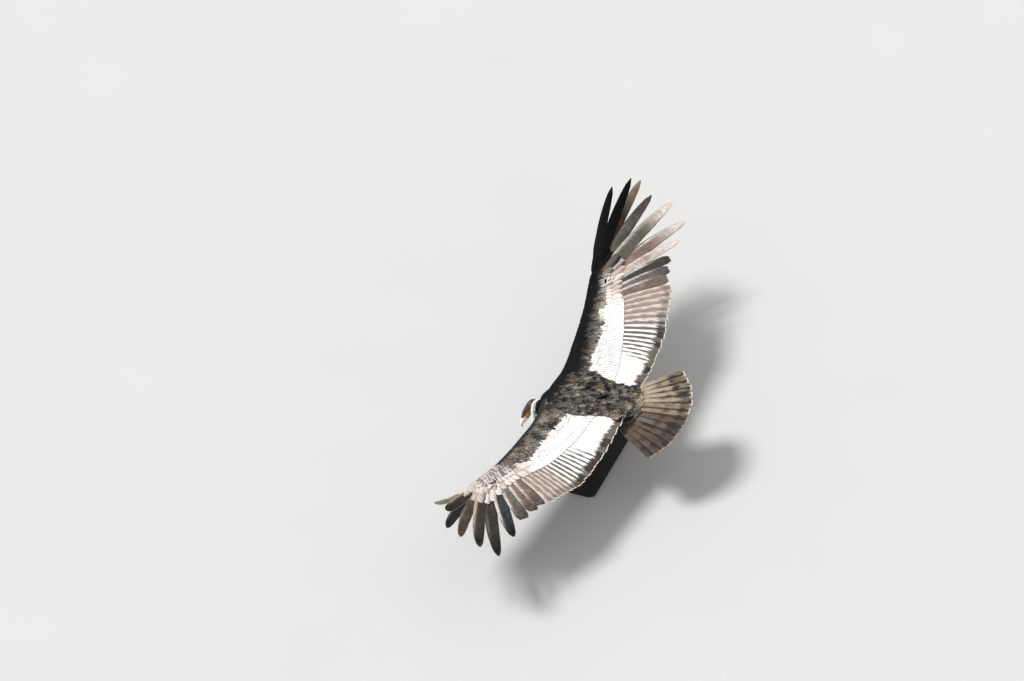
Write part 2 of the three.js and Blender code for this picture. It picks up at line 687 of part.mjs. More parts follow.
// A rod with its flange, standing on the base
function rod(place, top, grow) {
  const start = BASE[2] + GAP;
  const [flange, high] = ROD_FLANGE;
  const outline = [
    [0, start], [flange + grow, start], [flange + grow, start + high - 2], [flange - 2 + grow, start + high],
    [ROD_RADIUS + grow, start + high], [ROD_RADIUS + grow, top - 2 + grow], [ROD_RADIUS - 2 + grow, top + grow],
    [0, top + grow],
  ];
  const shape = new THREE.LatheGeometry(outline.map(([x, y]) => new THREE.Vector2(x, y)), 12);
  return shape.rotateX(Math.PI / 2).translate(0, place, 0);
}

function baseShape() {
  const [long, deep, thick] = BASE;
  const [x, y] = [long / 2 - BASE_CORNER, deep / 2 - BASE_CORNER];
  const outline = new THREE.Shape();
  [[x, y, 0], [-x, y, 90], [-x, -y, 180], [x, -y, 270]].forEach(([cx, cy, start]) => {
    outline.absarc(cx, cy, BASE_CORNER, start * RAD, (start + 90) * RAD, false);
  });
  return new THREE.ExtrudeGeometry(outline, { depth: thick, bevelEnabled: false, curveSegments: 6 });
}

const COLOURS = {
  skin: [0x6b4a40, 0.6], comb: [0x3a2a26, 0.6], plumage: [0x3a342e, 0.85], horn: [0xe9e2cf, 0.35],
  eye: [0x7a4a1c, 0.1], down: [0xf4f1ea, 0.95], flight: [0x57504a, 0.6], leg: [0x8a8a86, 0.7],
  steel: [0x1c1d1f, 0.5],
};

function mesh(name, shape, finish) {
  const [color, roughness] = COLOURS[finish];
  const metalness = finish === "steel" ? 0.6 : 0;
  const piece = new THREE.Mesh(shape, new THREE.MeshStandardMaterial({ color, roughness, metalness }));
  piece.name = name;
  return piece;
}

// A solid as the shape of a mesh
function shapeOf(piece) {
  const { vertProperties, triVerts } = piece.getMesh();
  const shape = new THREE.BufferGeometry();
  shape.setAttribute("position", new THREE.BufferAttribute(new Float32Array(vertProperties), 3));
  shape.setIndex(new THREE.BufferAttribute(new Uint32Array(triVerts), 1));
  shape.computeVertexNormals();
  return shape;
}

const bird = new THREE.Group();
bird.position.set(0, -BODY_FORWARD, BODY_HEIGHT);
bird.rotation.set(NOSE_DOWN * RAD, LEFT_SIDE_DOWN * RAD, 0);
bird.updateMatrixWorld(true);
const intoBird = bird.matrixWorld.clone().invert();
const rodTop = BODY_HEIGHT - 90 + ROD_DEPTH;

const torsoGrown = solid(torsoShape(GAP));
const sockets = ROD_PLACES.map((place) => solid(rod(place, rodTop, GAP), intoBird));
const torsoSolid = largest(cut(solid(torsoShape(0)), sockets));
const headGrown = headFlesh(2 * GAP);
const upperGrown = billUpper(GAP);

const nodes = [
  ["torso", torsoSolid, "plumage"],
  ["neck", largest(cut(neck(0), [torsoGrown, headGrown])), "skin"],
  ["ruff", largest(cut(collar(), [torsoGrown, neck(2 * GAP), headGrown])), "down"],
  ["head", largest(cut(head(), [upperGrown, billLower(GAP)])), "skin"],
  ["comb", largest(cut(comb(), [headGrown, upperGrown])), "comb"],
  ["bill_lower", largest(cut(billLower(0), [upperGrown])), "horn"],
  ["tail", tail(torsoGrown), "flight"],
];
const nostril = solid(ball(1, NOSTRIL_AT, 10, 8, NOSTRIL), inHead);
nodes.push(["bill_upper", largest(cut(billUpper(0), [nostril])), "horn"]);
[["left", 1], ["right", -1]].forEach(([name, side]) => {
  const { inner, outer } = wing(side, 7 + side, torsoGrown);
  const eye = [EYE_AT[0], side * EYE_AT[1], EYE_AT[2]];
  nodes.push([`wing_${name}_inner`, inner, "flight"]);
  nodes.push([`wing_${name}_outer`, outer, "flight"]);
  nodes.push([`eye_${name}`, solid(ball(EYE_RADIUS, eye, 10, 7), inHead), "eye"]);
  nodes.push([`leg_${name}`, largest(cut(leg(side), [torsoGrown, foot(side, GAP)])), "leg"]);
  nodes.push([`foot_${name}`, foot(side, 0), "leg"]);
});
for (const [name, piece, finish] of nodes) bird.add(mesh(name, shapeOf(piece), finish));

const condor = new THREE.Group();
condor.add(bird);
condor.add(mesh("stand_base", baseShape(), "steel"));
[["front", 0], ["rear", 1]].forEach(([name, k]) => {
  condor.add(mesh(`stand_rod_${name}`, rod(ROD_PLACES[k], rodTop, 0), "steel"));
});

export default condor;
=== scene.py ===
import math

import bpy
import numpy as np
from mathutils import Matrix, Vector


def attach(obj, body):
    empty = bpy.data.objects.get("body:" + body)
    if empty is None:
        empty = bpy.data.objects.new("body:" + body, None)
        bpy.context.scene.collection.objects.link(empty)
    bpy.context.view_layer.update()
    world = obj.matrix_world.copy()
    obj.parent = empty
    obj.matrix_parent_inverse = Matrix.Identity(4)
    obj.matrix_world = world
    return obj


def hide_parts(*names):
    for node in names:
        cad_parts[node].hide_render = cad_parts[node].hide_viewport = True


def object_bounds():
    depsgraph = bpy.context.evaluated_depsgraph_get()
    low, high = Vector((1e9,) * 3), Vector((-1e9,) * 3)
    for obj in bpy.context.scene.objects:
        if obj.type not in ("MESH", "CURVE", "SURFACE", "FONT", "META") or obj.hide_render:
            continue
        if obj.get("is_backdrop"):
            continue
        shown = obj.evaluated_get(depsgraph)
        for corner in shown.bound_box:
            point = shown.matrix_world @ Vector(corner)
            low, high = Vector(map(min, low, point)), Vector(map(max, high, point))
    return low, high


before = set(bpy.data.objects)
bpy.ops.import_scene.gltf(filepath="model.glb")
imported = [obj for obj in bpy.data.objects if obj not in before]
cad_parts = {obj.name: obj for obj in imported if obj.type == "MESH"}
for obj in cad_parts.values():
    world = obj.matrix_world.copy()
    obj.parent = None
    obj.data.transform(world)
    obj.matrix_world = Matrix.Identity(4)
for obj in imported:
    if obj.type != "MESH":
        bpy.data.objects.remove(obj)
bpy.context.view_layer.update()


# Camera. The bird glides past below the viewer and is seen from its left rear through a long
# lens, so with almost no perspective. The middle of the frame lies to the left of and above the
# bird's own origin. The standard view transform shows the painted colours as they are given.
BIRD_AT = np.array([0.0, -0.045, 0.370])
VIEW_AZIMUTH = math.radians(111.2)
VIEW_ELEVATION = math.radians(40.0)
VIEW_DISTANCE = 150.0
LENS = 930.0
FRAME_LEFT = 0.3175
FRAME_UP = 0.364

level_back = math.cos(VIEW_ELEVATION)
back = Vector((
    math.sin(VIEW_AZIMUTH) * level_back,
    -math.cos(VIEW_AZIMUTH) * level_back,
    math.sin(VIEW_ELEVATION),
))
right = (-back).cross(Vector((0, 0, 1))).normalized()
up = back.cross(right)
camera = bpy.data.objects.new("camera", bpy.data.cameras.new("camera"))
bpy.context.scene.collection.objects.link(camera)
bpy.context.scene.camera = camera
camera.data.lens = LENS
camera.data.clip_end = 3 * VIEW_DISTANCE
camera.location = Vector(BIRD_AT) - right * FRAME_LEFT + up * FRAME_UP + back * VIEW_DISTANCE
camera.rotation_mode = "QUATERNION"
camera.rotation_quaternion = (-back).to_track_quat("-Z", "Y")
bpy.context.scene.view_settings.view_transform = "Standard"


# Light. A broad soft light high on the head's side, a very wide weak one on the other side, and a
# pale surround that fills the shadows under the wings. Both light the whole floor evenly.
def soft_light(name, place, spread, power):
    """Parallel light from the direction of a place, spread over an angle in degrees."""
    lamp = bpy.data.lights.new(name, "SUN")
    lamp.angle = math.radians(spread)
    lamp.energy = power
    holder = bpy.data.objects.new(name, lamp)
    bpy.context.scene.collection.objects.link(holder)
    holder.location = place
    aim = Vector(BIRD_AT) - Vector(place)
    holder.rotation_mode = "QUATERNION"
    holder.rotation_quaternion = aim.to_track_quat("-Z", "Y")


soft_light("key_light", (1.6, -2.6, 5.4), spread=16, power=3.15)
soft_light("fill_light", (3.0, 3.6, 3.6), spread=70, power=0.3)
surround = bpy.data.worlds.new("surround")
surround.use_nodes = True
surround.node_tree.nodes["Background"].inputs["Color"].default_value = (1.0, 0.99, 0.98, 1)
surround.node_tree.nodes["Background"].inputs["Strength"].default_value = 0.6
bpy.context.scene.world = surround


# Floor. A plain pale studio floor under the stand, with a faint unevenness in its tone. Like every
# finish here it is a node tree that reads the object's own coordinates or the mesh's attributes.
FLOOR_SIZE = 420.0


def paint(card):
    """Linear red, green and blue of a hexadecimal colour: the inverse of the display's curve."""
    shown = np.array([int(card[k:k + 2], 16) / 255 for k in (0, 2, 4)])
    return np.where(shown <= 0.04045, shown / 12.92, ((shown + 0.055) / 1.055) ** 2.4)


FLOOR_PALE = paint("c6c6c5")


class Finish:
    """A material's node tree, with short calls for the nodes that the finishes share. Each call
    adds a node, feeds it sockets or plain values, and gives its output."""

    def __init__(self, name, roughness, specular=0.4):
        self.material = bpy.data.materials.new(name)
        self.material.use_nodes = True
        self.tree = self.material.node_tree
        self.shader = self.tree.nodes["Principled BSDF"]
        self.shader.inputs["Roughness"].default_value = roughness
        self.shader.inputs["Specular IOR Level"].default_value = specular

    def feed(self, socket, value):
        if isinstance(value, bpy.types.NodeSocket):
            self.tree.links.new(value, socket)
        elif isinstance(value, (int, float)):
            socket.default_value = value
        else:
            socket.default_value = (*value, 1) if len(socket.default_value) == 4 else value

    def node(self, kind, values=(), named=None, **settings):
        node = self.tree.nodes.new("ShaderNode" + kind)
        for title, setting in settings.items():
            setattr(node, title, setting)
        for place, value in (*enumerate(values), *(named or {}).items()):
            self.feed(node.inputs[place], value)
        return node

    def attribute(self, name, output="Color"):
        return self.node("Attribute", attribute_name=name).outputs[output]

    def parts(self, vector):
        return self.node("SeparateXYZ", [vector]).outputs

    def vector(self, x, y, z):
        return self.node("CombineXYZ", (x, y, z)).outputs[0]

    def object_place(self):
        return self.node("TexCoord").outputs["Object"]

    def math(self, kind, *values):
        return self.node("Math", values, operation=kind).outputs[0]

    def ramp(self, value, low, high, to_low=0.0, to_high=1.0):
        values = (value, low, high, to_low, to_high)
        return self.node("MapRange", values, interpolation_type="SMOOTHSTEP").outputs[0]

    def noise(self, place, scale, detail=3.0):
        named = {"Vector": place, "Scale": scale, "Detail": detail}
        return self.node("TexNoise", named=named).outputs["Fac"]

    def cells(self, place, scale):
        return self.node("TexVoronoi", named={"Vector": place, "Scale": scale}).outputs["Distance"]

    def mix(self, share, first, second, blend="MIX"):
        # The node's inputs 6 and 7 and its output 2 are the ones for colours.
        named = {"Factor": share, 6: first, 7: second}
        return self.node("Mix", named=named, data_type="RGBA", blend_type=blend).outputs[2]

    def shaded(self, colour, shade):
        return self.mix(1.0, colour, self.vector(shade, shade, shade), "MULTIPLY")

    def bump(self, height, strength, distance):
        named = {"Strength": strength, "Distance": distance, "Height": height}
        self.feed(self.shader.inputs["Normal"], self.node("Bump", named=named).outputs[0])

    def colour(self, value):
        self.feed(self.shader.inputs["Base Color"], value)


floor_mesh = bpy.data.meshes.new("studio_floor")
reach = FLOOR_SIZE / 2
floor_corners = [(-reach, -reach, 0), (reach, -reach, 0), (reach, reach, 0), (-reach, reach, 0)]
floor_mesh.from_pydata(floor_corners, [], [(0, 1, 2, 3)])
floor = bpy.data.objects.new("studio_floor", floor_mesh)
bpy.context.scene.collection.objects.link(floor)
finish = Finish("pale_floor", 0.85)
finish.colour(finish.mix(finish.noise(finish.object_place(), 1.5), FLOOR_PALE * 0.96, FLOOR_PALE))
floor_mesh.materials.append(finish.material)
floor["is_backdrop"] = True


# Skin. The bare body that carries the plumage: torso, fleshy arms, thighs, neck and the bald
# head in one skin, which lies inside the solids by the depth of the coat. Lengths from here on
# are millimetres in the bird's frame: +X to its left, -Y to its head, +Z to its back.
NOSE_DOWN = math.radians(9.8)
LEFT_SIDE_DOWN = math.radians(2.4)
# The torso's place along, half width, half height and height of its middle.
TORSO = [
    [-178, 50, 42, -36], [-156, 92, 71, -33], [-106, 114, 94, -26], [-30, 128, 108, -14],
    [60, 130, 106, -4], [150, 132, 92, 4], [240, 128, 70, 8], [300, 118, 48, 15], [342, 98, 26, 21],
]
TORSO_SQUARENESS = 0.84
# Each rounded body is a path's points, with its half width and half height there.
TAIL_STUMP = [[0, 322, 22, 92, 23], [0, 352, 23, 112, 17], [0, 396, 22, 116, 11], [0, 436, 21, 96, 5]]
TAIL_TWIST = math.radians(13)
# At each station from the midline, how far forward and how high the wing's edges lie, and its
# flesh: share of the chord, depth above and depth below.
STATION = [70, 210, 390, 680, 950]
LEADING_EDGE = [[130, 46], [107, 58], [118, 76], [148, 113], [184, 174]]
TRAILING_EDGE = [[-408, 72], [-391, 33], [-370, 2], [-342, 18], [-302, 116]]
WING_FLESH = [[0.54, 38, 24], [0.52, 33, 21], [0.47, 25, 17], [0.33, 14, 10], [0.1, 5, 4]]
WING_CAMBER = 24
ARM_FROM = 50
HAND_END = 935
NECK = [
    [0, -104, -36, 50, 50], [6, -140, -43, 47, 45], [10, -172, -45, 39, 39], [9, -196, -39, 33, 33],
    [4, -214, -29, 23, 23],
]
THIGH = [
    [58, 92, -66, 26, 30], [62, 150, -78, 36, 40], [60, 205, -72, 27, 29], [56, 250, -58, 15, 16],
]
# Places on the head are along the bill, to its left and to the crown.
HEAD_AT = np.array([25.0, -225.0, -29.0])
HEAD_TURN = math.radians(57)
HEAD_DOWN = math.radians(36)
SKULL = [
    [-50, 0, -4, 8, 8], [-40, 0, -1, 22, 21], [-20, 0, 2, 30, 29], [2, 0, 2, 31, 31],
    [24, 0, -1, 27, 28], [42, 0, -4, 20, 22], [56, 0, -6, 14, 16],
]
WATTLE = [
    [44, 0, -24, 4, 6], [24, 0, -31, 6, 11], [2, 0, -35, 7, 14], [-18, 0, -33, 7, 12], [-32, 0, -24, 4, 6],
]
CHEEK_FOLD = [[-6, 0.74], [-20, 0.9], [-34, 0.8]]
EYE_AT = np.array([24.0, 21.0, 5.0])
EYE_RADIUS = 8.0
COAT_DEPTH = 9.0
HEAD_VOXEL = 1.35
BODY_VOXEL = 5.5


def placed(points):
    """The bird's frame to the part's, in metres: a roll about Y, a pitch about X, and the lift."""
    c, s = math.cos(LEFT_SIDE_DOWN), math.sin(LEFT_SIDE_DOWN)
    roll = np.array([[c, 0, s], [0, 1, 0], [-s, 0, c]])
    c, s = math.cos(NOSE_DOWN), math.sin(NOSE_DOWN)
    pitch = np.array([[1, 0, 0], [0, c, -s], [0, s, c]])
    return points @ (pitch @ roll).T * 0.001 + BIRD_AT


def unit(vectors):
    """Vectors scaled to length one."""
    return vectors / np.maximum(np.linalg.norm(vectors, axis=-1, keepdims=True), 1e-9)


def head_axes():
    """The bill's way, the left and the crown of the turned, lowered head."""
    level = np.array([math.sin(HEAD_TURN), -math.cos(HEAD_TURN), 0])
    top = np.array([0, 0, 1.0])
    bill = level * math.cos(HEAD_DOWN) - top * math.sin(HEAD_DOWN)
    crown = level * math.sin(HEAD_DOWN) + top * math.cos(HEAD_DOWN)
    return np.stack([bill, np.cross(crown, bill), crown])


def in_head(points):
    """The head's frame to the bird's: its three axes weighted by the point, from the head's place."""
    return np.asarray(points, float) @ head_axes() + HEAD_AT


def from_head(points):
    """The bird's frame to the head's."""
    return (points - HEAD_AT) @ head_axes().T


def read(table, share):
    """A Catmull-Rom curve through a table's rows, read at an array of shares of its length."""
    rows = np.asarray(table, float)
    at = np.clip(share, 0, 1) * (len(rows) - 1)
    low = np.minimum(at.astype(int), len(rows) - 2)
    part = (at - low)[..., None]
    a, b, c, d = (rows[np.clip(low + step, 0, len(rows) - 1)] for step in (-1, 0, 1, 2))
    return b + 0.5 * part * (c - a + part * (2 * a - 5 * b + 4 * c - d + part * (3 * (b - c) + d - a)))


def blend(low, high, value):
    """0 below the low value, 1 above the high one, and a smooth S between them."""
    part = np.clip((value - low) / (high - low), 0, 1)
    return part * part * (3 - 2 * part)


def toward(colour, goal, share):
    """A colour moved to another one by a share, or by a share for each point."""
    return colour + (goal - colour) * np.asarray(share)[..., None]


def drift(x, y, size, seed):
    """A smooth random field of about -1 to 1: six plane waves of about the given length."""
    draw = np.random.default_rng(seed)
    total = 0.0
    for _ in range(6):
        angle = draw.uniform(0, 2 * math.pi)
        rate = 2 * math.pi / size * draw.uniform(0.6, 1.6)
        total = total + np.sin(rate * (x * math.cos(angle) + y * math.sin(angle)) + draw.uniform(0, 6.28))
    return total / 3


def path_surface(table):
    """A rounded body along a smooth path, as a function of an angle round it and a share along."""
    def at(angle, share):
        row = read(table, share)
        ahead, behind = (read(table, np.clip(share + step, 0, 1))[..., :3] for step in (0.01, -0.01))
        way = unit(ahead - behind)
        across = unit(np.cross(way, [0, 0, 1.0]))
        high = np.cross(across, way)
        wide = (row[..., 3] * np.cos(angle))[..., None]
        return row[..., :3] + across * wide + high * (row[..., 4] * np.sin(angle))[..., None]
    return at


def torso_rows(along):
    """The torso's table read at places along the body."""
    return read(TORSO, np.interp(along, [row[0] for row in TORSO], np.linspace(0, 1, len(TORSO))))


def torso_at(angle, along, shrink):
    """A point of the torso: a slightly squared ellipse across, whose size is read along the body."""
    rows = torso_rows(along)
    power = lambda value: np.sign(value) * np.abs(value) ** TORSO_SQUARENESS
    x = (rows[..., 1] - shrink) * power(np.cos(angle))
    z = rows[..., 3] + (rows[..., 2] - shrink) * power(np.sin(angle))
    return np.stack([x, np.broadcast_to(along, x.shape), z], -1)


def at_station(table, outward):
    """A wing table read at distances from the midline."""
    return read(table, np.interp(outward, STATION, np.linspace(0, 1, len(STATION))))


def chord(outward, forward):
    """Share of the way from the leading to the trailing edge, and the height of that chord."""
    front, rear = at_station(LEADING_EDGE, outward), at_station(TRAILING_EDGE, outward)
    share = (front[..., 0] - forward) / (front[..., 0] - rear[..., 0])
    level = front[..., 1] + (rear[..., 1] - front[..., 1]) * share
    return share, level + WING_CAMBER * 4 * share * (1 - share) ** 2


def wing_height(outward, forward):
    """Height of the wing's middle surface: the chord's line and a camber that is full at a third."""
    return chord(outward, forward)[1]


def flesh_depth(outward, forward, face):
    """Thickness of the fleshy wing above or below its middle surface, round in front, thin behind."""
    share, _ = chord(outward, forward)
    flesh = at_station(WING_FLESH, outward)
    part = np.clip(share / flesh[..., 0], 0, 1)
    return 1.875 * np.sqrt(part) * (1 - part) ** 0.8 * flesh[..., 1 if face > 0 else 2] + 1.2


def tube_faces(rings, sides):
    """Quads along and round a closed tube, and across both its ends, with each corner's place
    along and round the tube."""
    ring, side = np.meshgrid(np.arange(rings - 1), np.arange(sides), indexing="ij")
    ring, side = ring.ravel(), side.ravel()
    along = np.stack([ring, ring, ring + 1, ring + 1], -1)
    around = np.stack([side, side + 1, side + 1, side], -1)
    half = np.arange(sides // 2 - 1)
    cap = np.stack([half, sides - 1 - half, sides - 2 - half, half + 1], -1)
    along = np.concatenate([along, 0 * cap, 0 * cap + rings - 1])
    around = np.concatenate([around, cap, cap[:, ::-1]])
    return along * sides + around % sides, along, around


def turned_out(points, faces):
    """The faces of each tube, reversed where they point inwards, which is where the volume summed
    from their corners is below zero."""
    a, b, c, d = (points[:, faces[:, k]] for k in range(4))
    volume = (a * (np.cross(b, c) + np.cross(c, d))).sum((1, 2))
    many = np.repeat(faces[None], len(points), 0)
    many[volume < 0] = many[volume < 0][:, :, ::-1]
    return many, volume < 0


def make_piece(name, points, quads, material, nodes=(), colours=None, vectors=None, maps=None):
    """A mesh from whole arrays of points and quads, with its colours, vectors and UV maps."""
    mesh = bpy.data.meshes.new(name)
    mesh.vertices.add(len(points))
    mesh.vertices.foreach_set("co", placed(points).astype(np.float32).ravel())
    mesh.loops.add(quads.size)
    mesh.loops.foreach_set("vertex_index", quads.astype(np.int32).ravel())
    mesh.polygons.add(len(quads))
    mesh.polygons.foreach_set("loop_start", np.arange(0, quads.size, 4, dtype=np.int32))
    mesh.polygons.foreach_set("use_smooth", np.ones(len(quads), bool))
    mesh.update(calc_edges=True)
    for title, values in (colours or {}).items():
        layer = mesh.color_attributes.new(title, "FLOAT_COLOR", "POINT")
        rgba = np.concatenate([values, np.ones((len(values), 1))], 1)
        layer.data.foreach_set("color", rgba.astype(np.float32).ravel())
    for title, values in (vectors or {}).items():
        layer = mesh.attributes.new(title, "FLOAT_VECTOR", "POINT")
        layer.data.foreach_set("vector", values.astype(np.float32).ravel())
    for title, corners in (maps or {}).items():
        layer = mesh.uv_layers.new(name=title)
        layer.data.foreach_set("uv", corners.astype(np.float32).ravel())
    mesh.materials.append(material)
    piece = bpy.data.objects.new(name, mesh)
    bpy.context.scene.collection.objects.link(piece)
    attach(piece, "root")
    if nodes:
        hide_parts(*nodes)


def joined(tubes):
    """The points and outward quads of several closed tubes, each a grid of rings by sides."""
    points, quads, count = [], [], 0
    for tube in tubes:
        rings, sides = tube.shape[:2]
        flat = tube.reshape(1, -1, 3)
        faces, _ = turned_out(flat, tube_faces(rings, sides)[0])
        points.append(flat[0])
        quads.append(faces[0] + count)
        count += rings * sides
    return np.concatenate(points), np.concatenate(quads)


def remeshed(tubes, voxel, rounds):
    """One even skin over overlapping closed tubes: voxels, then so many rounds of smoothing."""
    points, quads = joined(tubes)
    mesh = bpy.data.meshes.new("rough")
    mesh.from_pydata((points * 0.001).tolist(), [], quads.tolist())
    rough = bpy.data.objects.new("rough", mesh)
    bpy.context.scene.collection.objects.link(rough)
    even = rough.modifiers.new("even", "REMESH")
    even.mode = "VOXEL"
    even.voxel_size = voxel * 0.001
    soft = rough.modifiers.new("soft", "SMOOTH")
    soft.iterations = rounds
    done = rough.evaluated_get(bpy.context.evaluated_depsgraph_get()).to_mesh()
    points = np.empty(len(done.vertices) * 3, np.float32)
    done.vertices.foreach_get("co", points)
    corners = np.empty(len(done.loops), np.int32)
    done.loops.foreach_get("vertex_index", corners)
    bpy.data.objects.remove(rough)
    return points.reshape(-1, 3).astype(float) * 1000, corners.reshape(-1, 4)


def point_normals(points, quads):
    """The mean way out at each point: the cross products of the diagonals of its quads."""
    a, b, c, d = (points[quads[:, k]] for k in range(4))
    way = np.cross(c - a, d - b)
    total = np.zeros_like(points)
    for k in range(4):
        np.add.at(total, quads[:, k], way)
    return unit(total)


def rings_of(surface, sides, shares):
    """A closed tube: a surface read on a grid of places along it and angles round it."""
    angle = np.linspace(0, 2 * math.pi, sides, endpoint=False)
    return surface(*(grid.T for grid in np.meshgrid(angle, shares, indexing="ij")))


def tube_on(table, sides, rings):
    """The closed tube of a rounded body along a path."""
    return rings_of(path_surface(table), sides, np.linspace(0, 1, rings))


def shrunk(table, depth):
    """A table of a rounded body with its half width and half height less by a depth."""
    rows = np.array(table, float)
    rows[:, 3:5] = np.maximum(rows[:, 3:5] - depth, 2)
    return rows


def arm_tube(side):
    """The fleshy wing as rings: over the top from the front edge, and back below."""
    outward = np.linspace(ARM_FROM, HAND_END, 60)[:, None]
    part = np.array([0.01, 0.05, 0.12, 0.25, 0.4, 0.6, 0.8, 0.97])
    share = np.concatenate([part, part[::-1]])[None]
    level = np.repeat([1.0, -1.0], len(part))[None]
    front, rear, reach = (
        at_station(table, outward)[..., 0] for table in (LEADING_EDGE, TRAILING_EDGE, WING_FLESH)
    )
    forward = front - 3 - (front - rear) * reach * share
    outward = np.broadcast_to(outward, forward.shape)
    above, below = (flesh_depth(outward, forward, face) for face in (1, -1))
    z = wing_height(outward, forward) + level * np.maximum(np.where(level > 0, above, below) - 4, 0.8)
    return np.stack([side * outward, -forward, z], -1)


body_tubes = [rings_of(lambda a, y: torso_at(a, y, COAT_DEPTH), 64, np.linspace(-170, 338, 60))]
body_tubes.append(tube_on(shrunk(TAIL_STUMP, 5), 32, 16))
for side in (1, -1):
    body_tubes += [arm_tube(side), tube_on(shrunk(THIGH, 6), 24, 24) * [side, 1, 1]]
body_points, body_quads = remeshed(body_tubes, BODY_VOXEL, 3)

# The fine part of the skin: the neck, the skull, the throat's hanging fold, the lids round each
# eye and the folds behind each cheek, blended into one, then wrinkled.
LID_RING = 9.3
LID_THICK = 2.3
LID_OUT = 5.0


def lid_tube(side):
    """A ring of skin round the eye, taller behind than in front, as a closed loop of circles."""
    turn = np.linspace(0, 2 * math.pi, 33)[:, None]
    round_it = np.linspace(0, 2 * math.pi, 10, endpoint=False)[None]
    radius = LID_RING + LID_THICK * np.cos(round_it)
    x = EYE_AT[0] + 1.1 * radius * np.cos(turn)
    z = EYE_AT[2] + 0.86 * radius * np.sin(turn)
    y = side * (EYE_AT[1] + LID_OUT + LID_THICK * np.sin(round_it) + 0 * turn - 0.08 * (x - EYE_AT[0]))
    return in_head(np.stack([x, y, z], -1))


fine_tubes = [tube_on(NECK, 40, 60)] + [in_head(tube_on(table, 40, 60)) for table in (SKULL, WATTLE)]
for side in (1, -1):
    fold = [[x, side * 31 * part, -8, 3, 9] for x, part in CHEEK_FOLD]
    fine_tubes += [in_head(tube_on(fold, 16, 16)), lid_tube(side)]
fine_points, fine_quads = remeshed(fine_tubes, HEAD_VOXEL, 4)


EAR_AT = np.array([-9.0, -1.0])
EAR_DEPTH = 3.5
MOUTH_DEPTH = 2.2


def wrinkled(points, quads):
    """Folds of bare skin as a height along the normal: rings round the neck, slanted folds on the
    cheeks and throat and fine creases all over, each a sine of a place bent by a smooth field.
    The skin sinks behind the eyeball, into the ear and along the mouth."""
    out = point_normals(points, quads)
    x, y, z = from_head(points).T
    bend = drift(x, z, 26, 3) + drift(y, z, 18, 4)
    on_neck = blend(-30, -52, x)
    rings = np.sin((points[:, 1] + 4 * bend) * 2 * math.pi / 11)
    cheek = np.sin((x + 0.7 * z + 3 * bend) * 2 * math.pi / 6.5)
    creases = np.sin((x * 0.4 + z + 2 * bend) * 2 * math.pi / 3.1) * np.sin((y + x) * 2 * math.pi / 4.3)
    off_crown = blend(22, 4, z)
    height = 1.7 * on_neck * rings + 0.75 * (1 - on_neck) * off_crown * cheek + 0.22 * creases
    away = np.hypot(x - EYE_AT[0], z - EYE_AT[2])
    height = height * blend(8, 15, away)
    moved = from_head(points + out * height[:, None])
    aside = np.sign(moved[:, 1])
    behind_eye = np.sqrt(np.maximum(EYE_RADIUS ** 2 - np.minimum(away, EYE_RADIUS) ** 2, 0))
    sunk = np.minimum(np.abs(moved[:, 1]), EYE_AT[1] + behind_eye - 1.4)
    moved[:, 1] = np.where(away < EYE_RADIUS - 0.6, aside * sunk, moved[:, 1])
    ear = np.hypot(x - EAR_AT[0], z - EAR_AT[1])
    moved[:, 1] -= aside * EAR_DEPTH * blend(5, 1.5, ear) * (np.abs(y) > 15)
    mouth = np.exp(-((z + 10 + 0.12 * x) / 1.4) ** 2) * blend(12, 22, x) * (np.abs(y) > 6)
    moved[:, 1] -= aside * MOUTH_DEPTH * mouth
    return in_head(moved)


fine_points = wrinkled(fine_points, fine_quads)
SKIN_DARK = paint("3a2c2a")
SKIN_MAROON = paint("5a3b38")
SKIN_ROSE = paint("866254")
SKIN_YELLOW = paint("bd8d4a")


def skin_colours(points):
    """Dark crown, maroon neck and cheeks, and the warm yellow of the lores, cheek and throat."""
    x, y, z = from_head(points).T
    bend = drift(x, z, 22, 8)
    warm = blend(-24, 0, x) * blend(12, -2, z - 0.25 * x)
    colour = toward(SKIN_ROSE, SKIN_DARK, blend(8, 22, z))
    colour = toward(colour, SKIN_YELLOW, np.clip(warm + 0.3 * bend * warm, 0, 1))
    colour = toward(colour, SKIN_MAROON * (0.8 + 0.25 * bend)[:, None], blend(-34, -60, x))
    lid = blend(15, 10, np.hypot(x - EYE_AT[0], z - EYE_AT[2])) * (np.abs(y) > 18)
    return np.clip(toward(colour, SKIN_DARK * 1.6, lid * 0.8), 0, 1)


finish = Finish("bare_skin", 0.55)
place = finish.object_place()
pores = finish.cells(place, 900)
blotch = finish.ramp(finish.noise(place, 160), 0.35, 0.65, 0.72, 1.18)
finish.colour(finish.shaded(finish.attribute("Ground"), blotch))
finish.bump(finish.math("ADD", pores, finish.noise(place, 420)), 0.5, 0.0006)
# The body's skin under the coat is painted near black: painted shade, so that gaps between the feathers read
# as shadow.
skin_under_coat_shade_black = np.repeat(SKIN_DARK[None] * 0.2, len(body_points), 0)
make_piece(
    "skin", np.concatenate([body_points, fine_points]),
    np.concatenate([body_quads, fine_quads + len(body_points)]), finish.material,
    ("torso", "neck", "head", "leg_left", "leg_right"),
    {"Ground": np.concatenate([skin_under_coat_shade_black, skin_colours(fine_points)])},
)


# Eyes. Wet dark brown balls with a black pupil, set deep between the lids, which belong to the
# skin. The iris is darker at its rim and has fine dark spokes.
SIDES = (("left", 1), ("right", -1))
IRIS = paint("5a3418")
PUPIL = paint("050404")

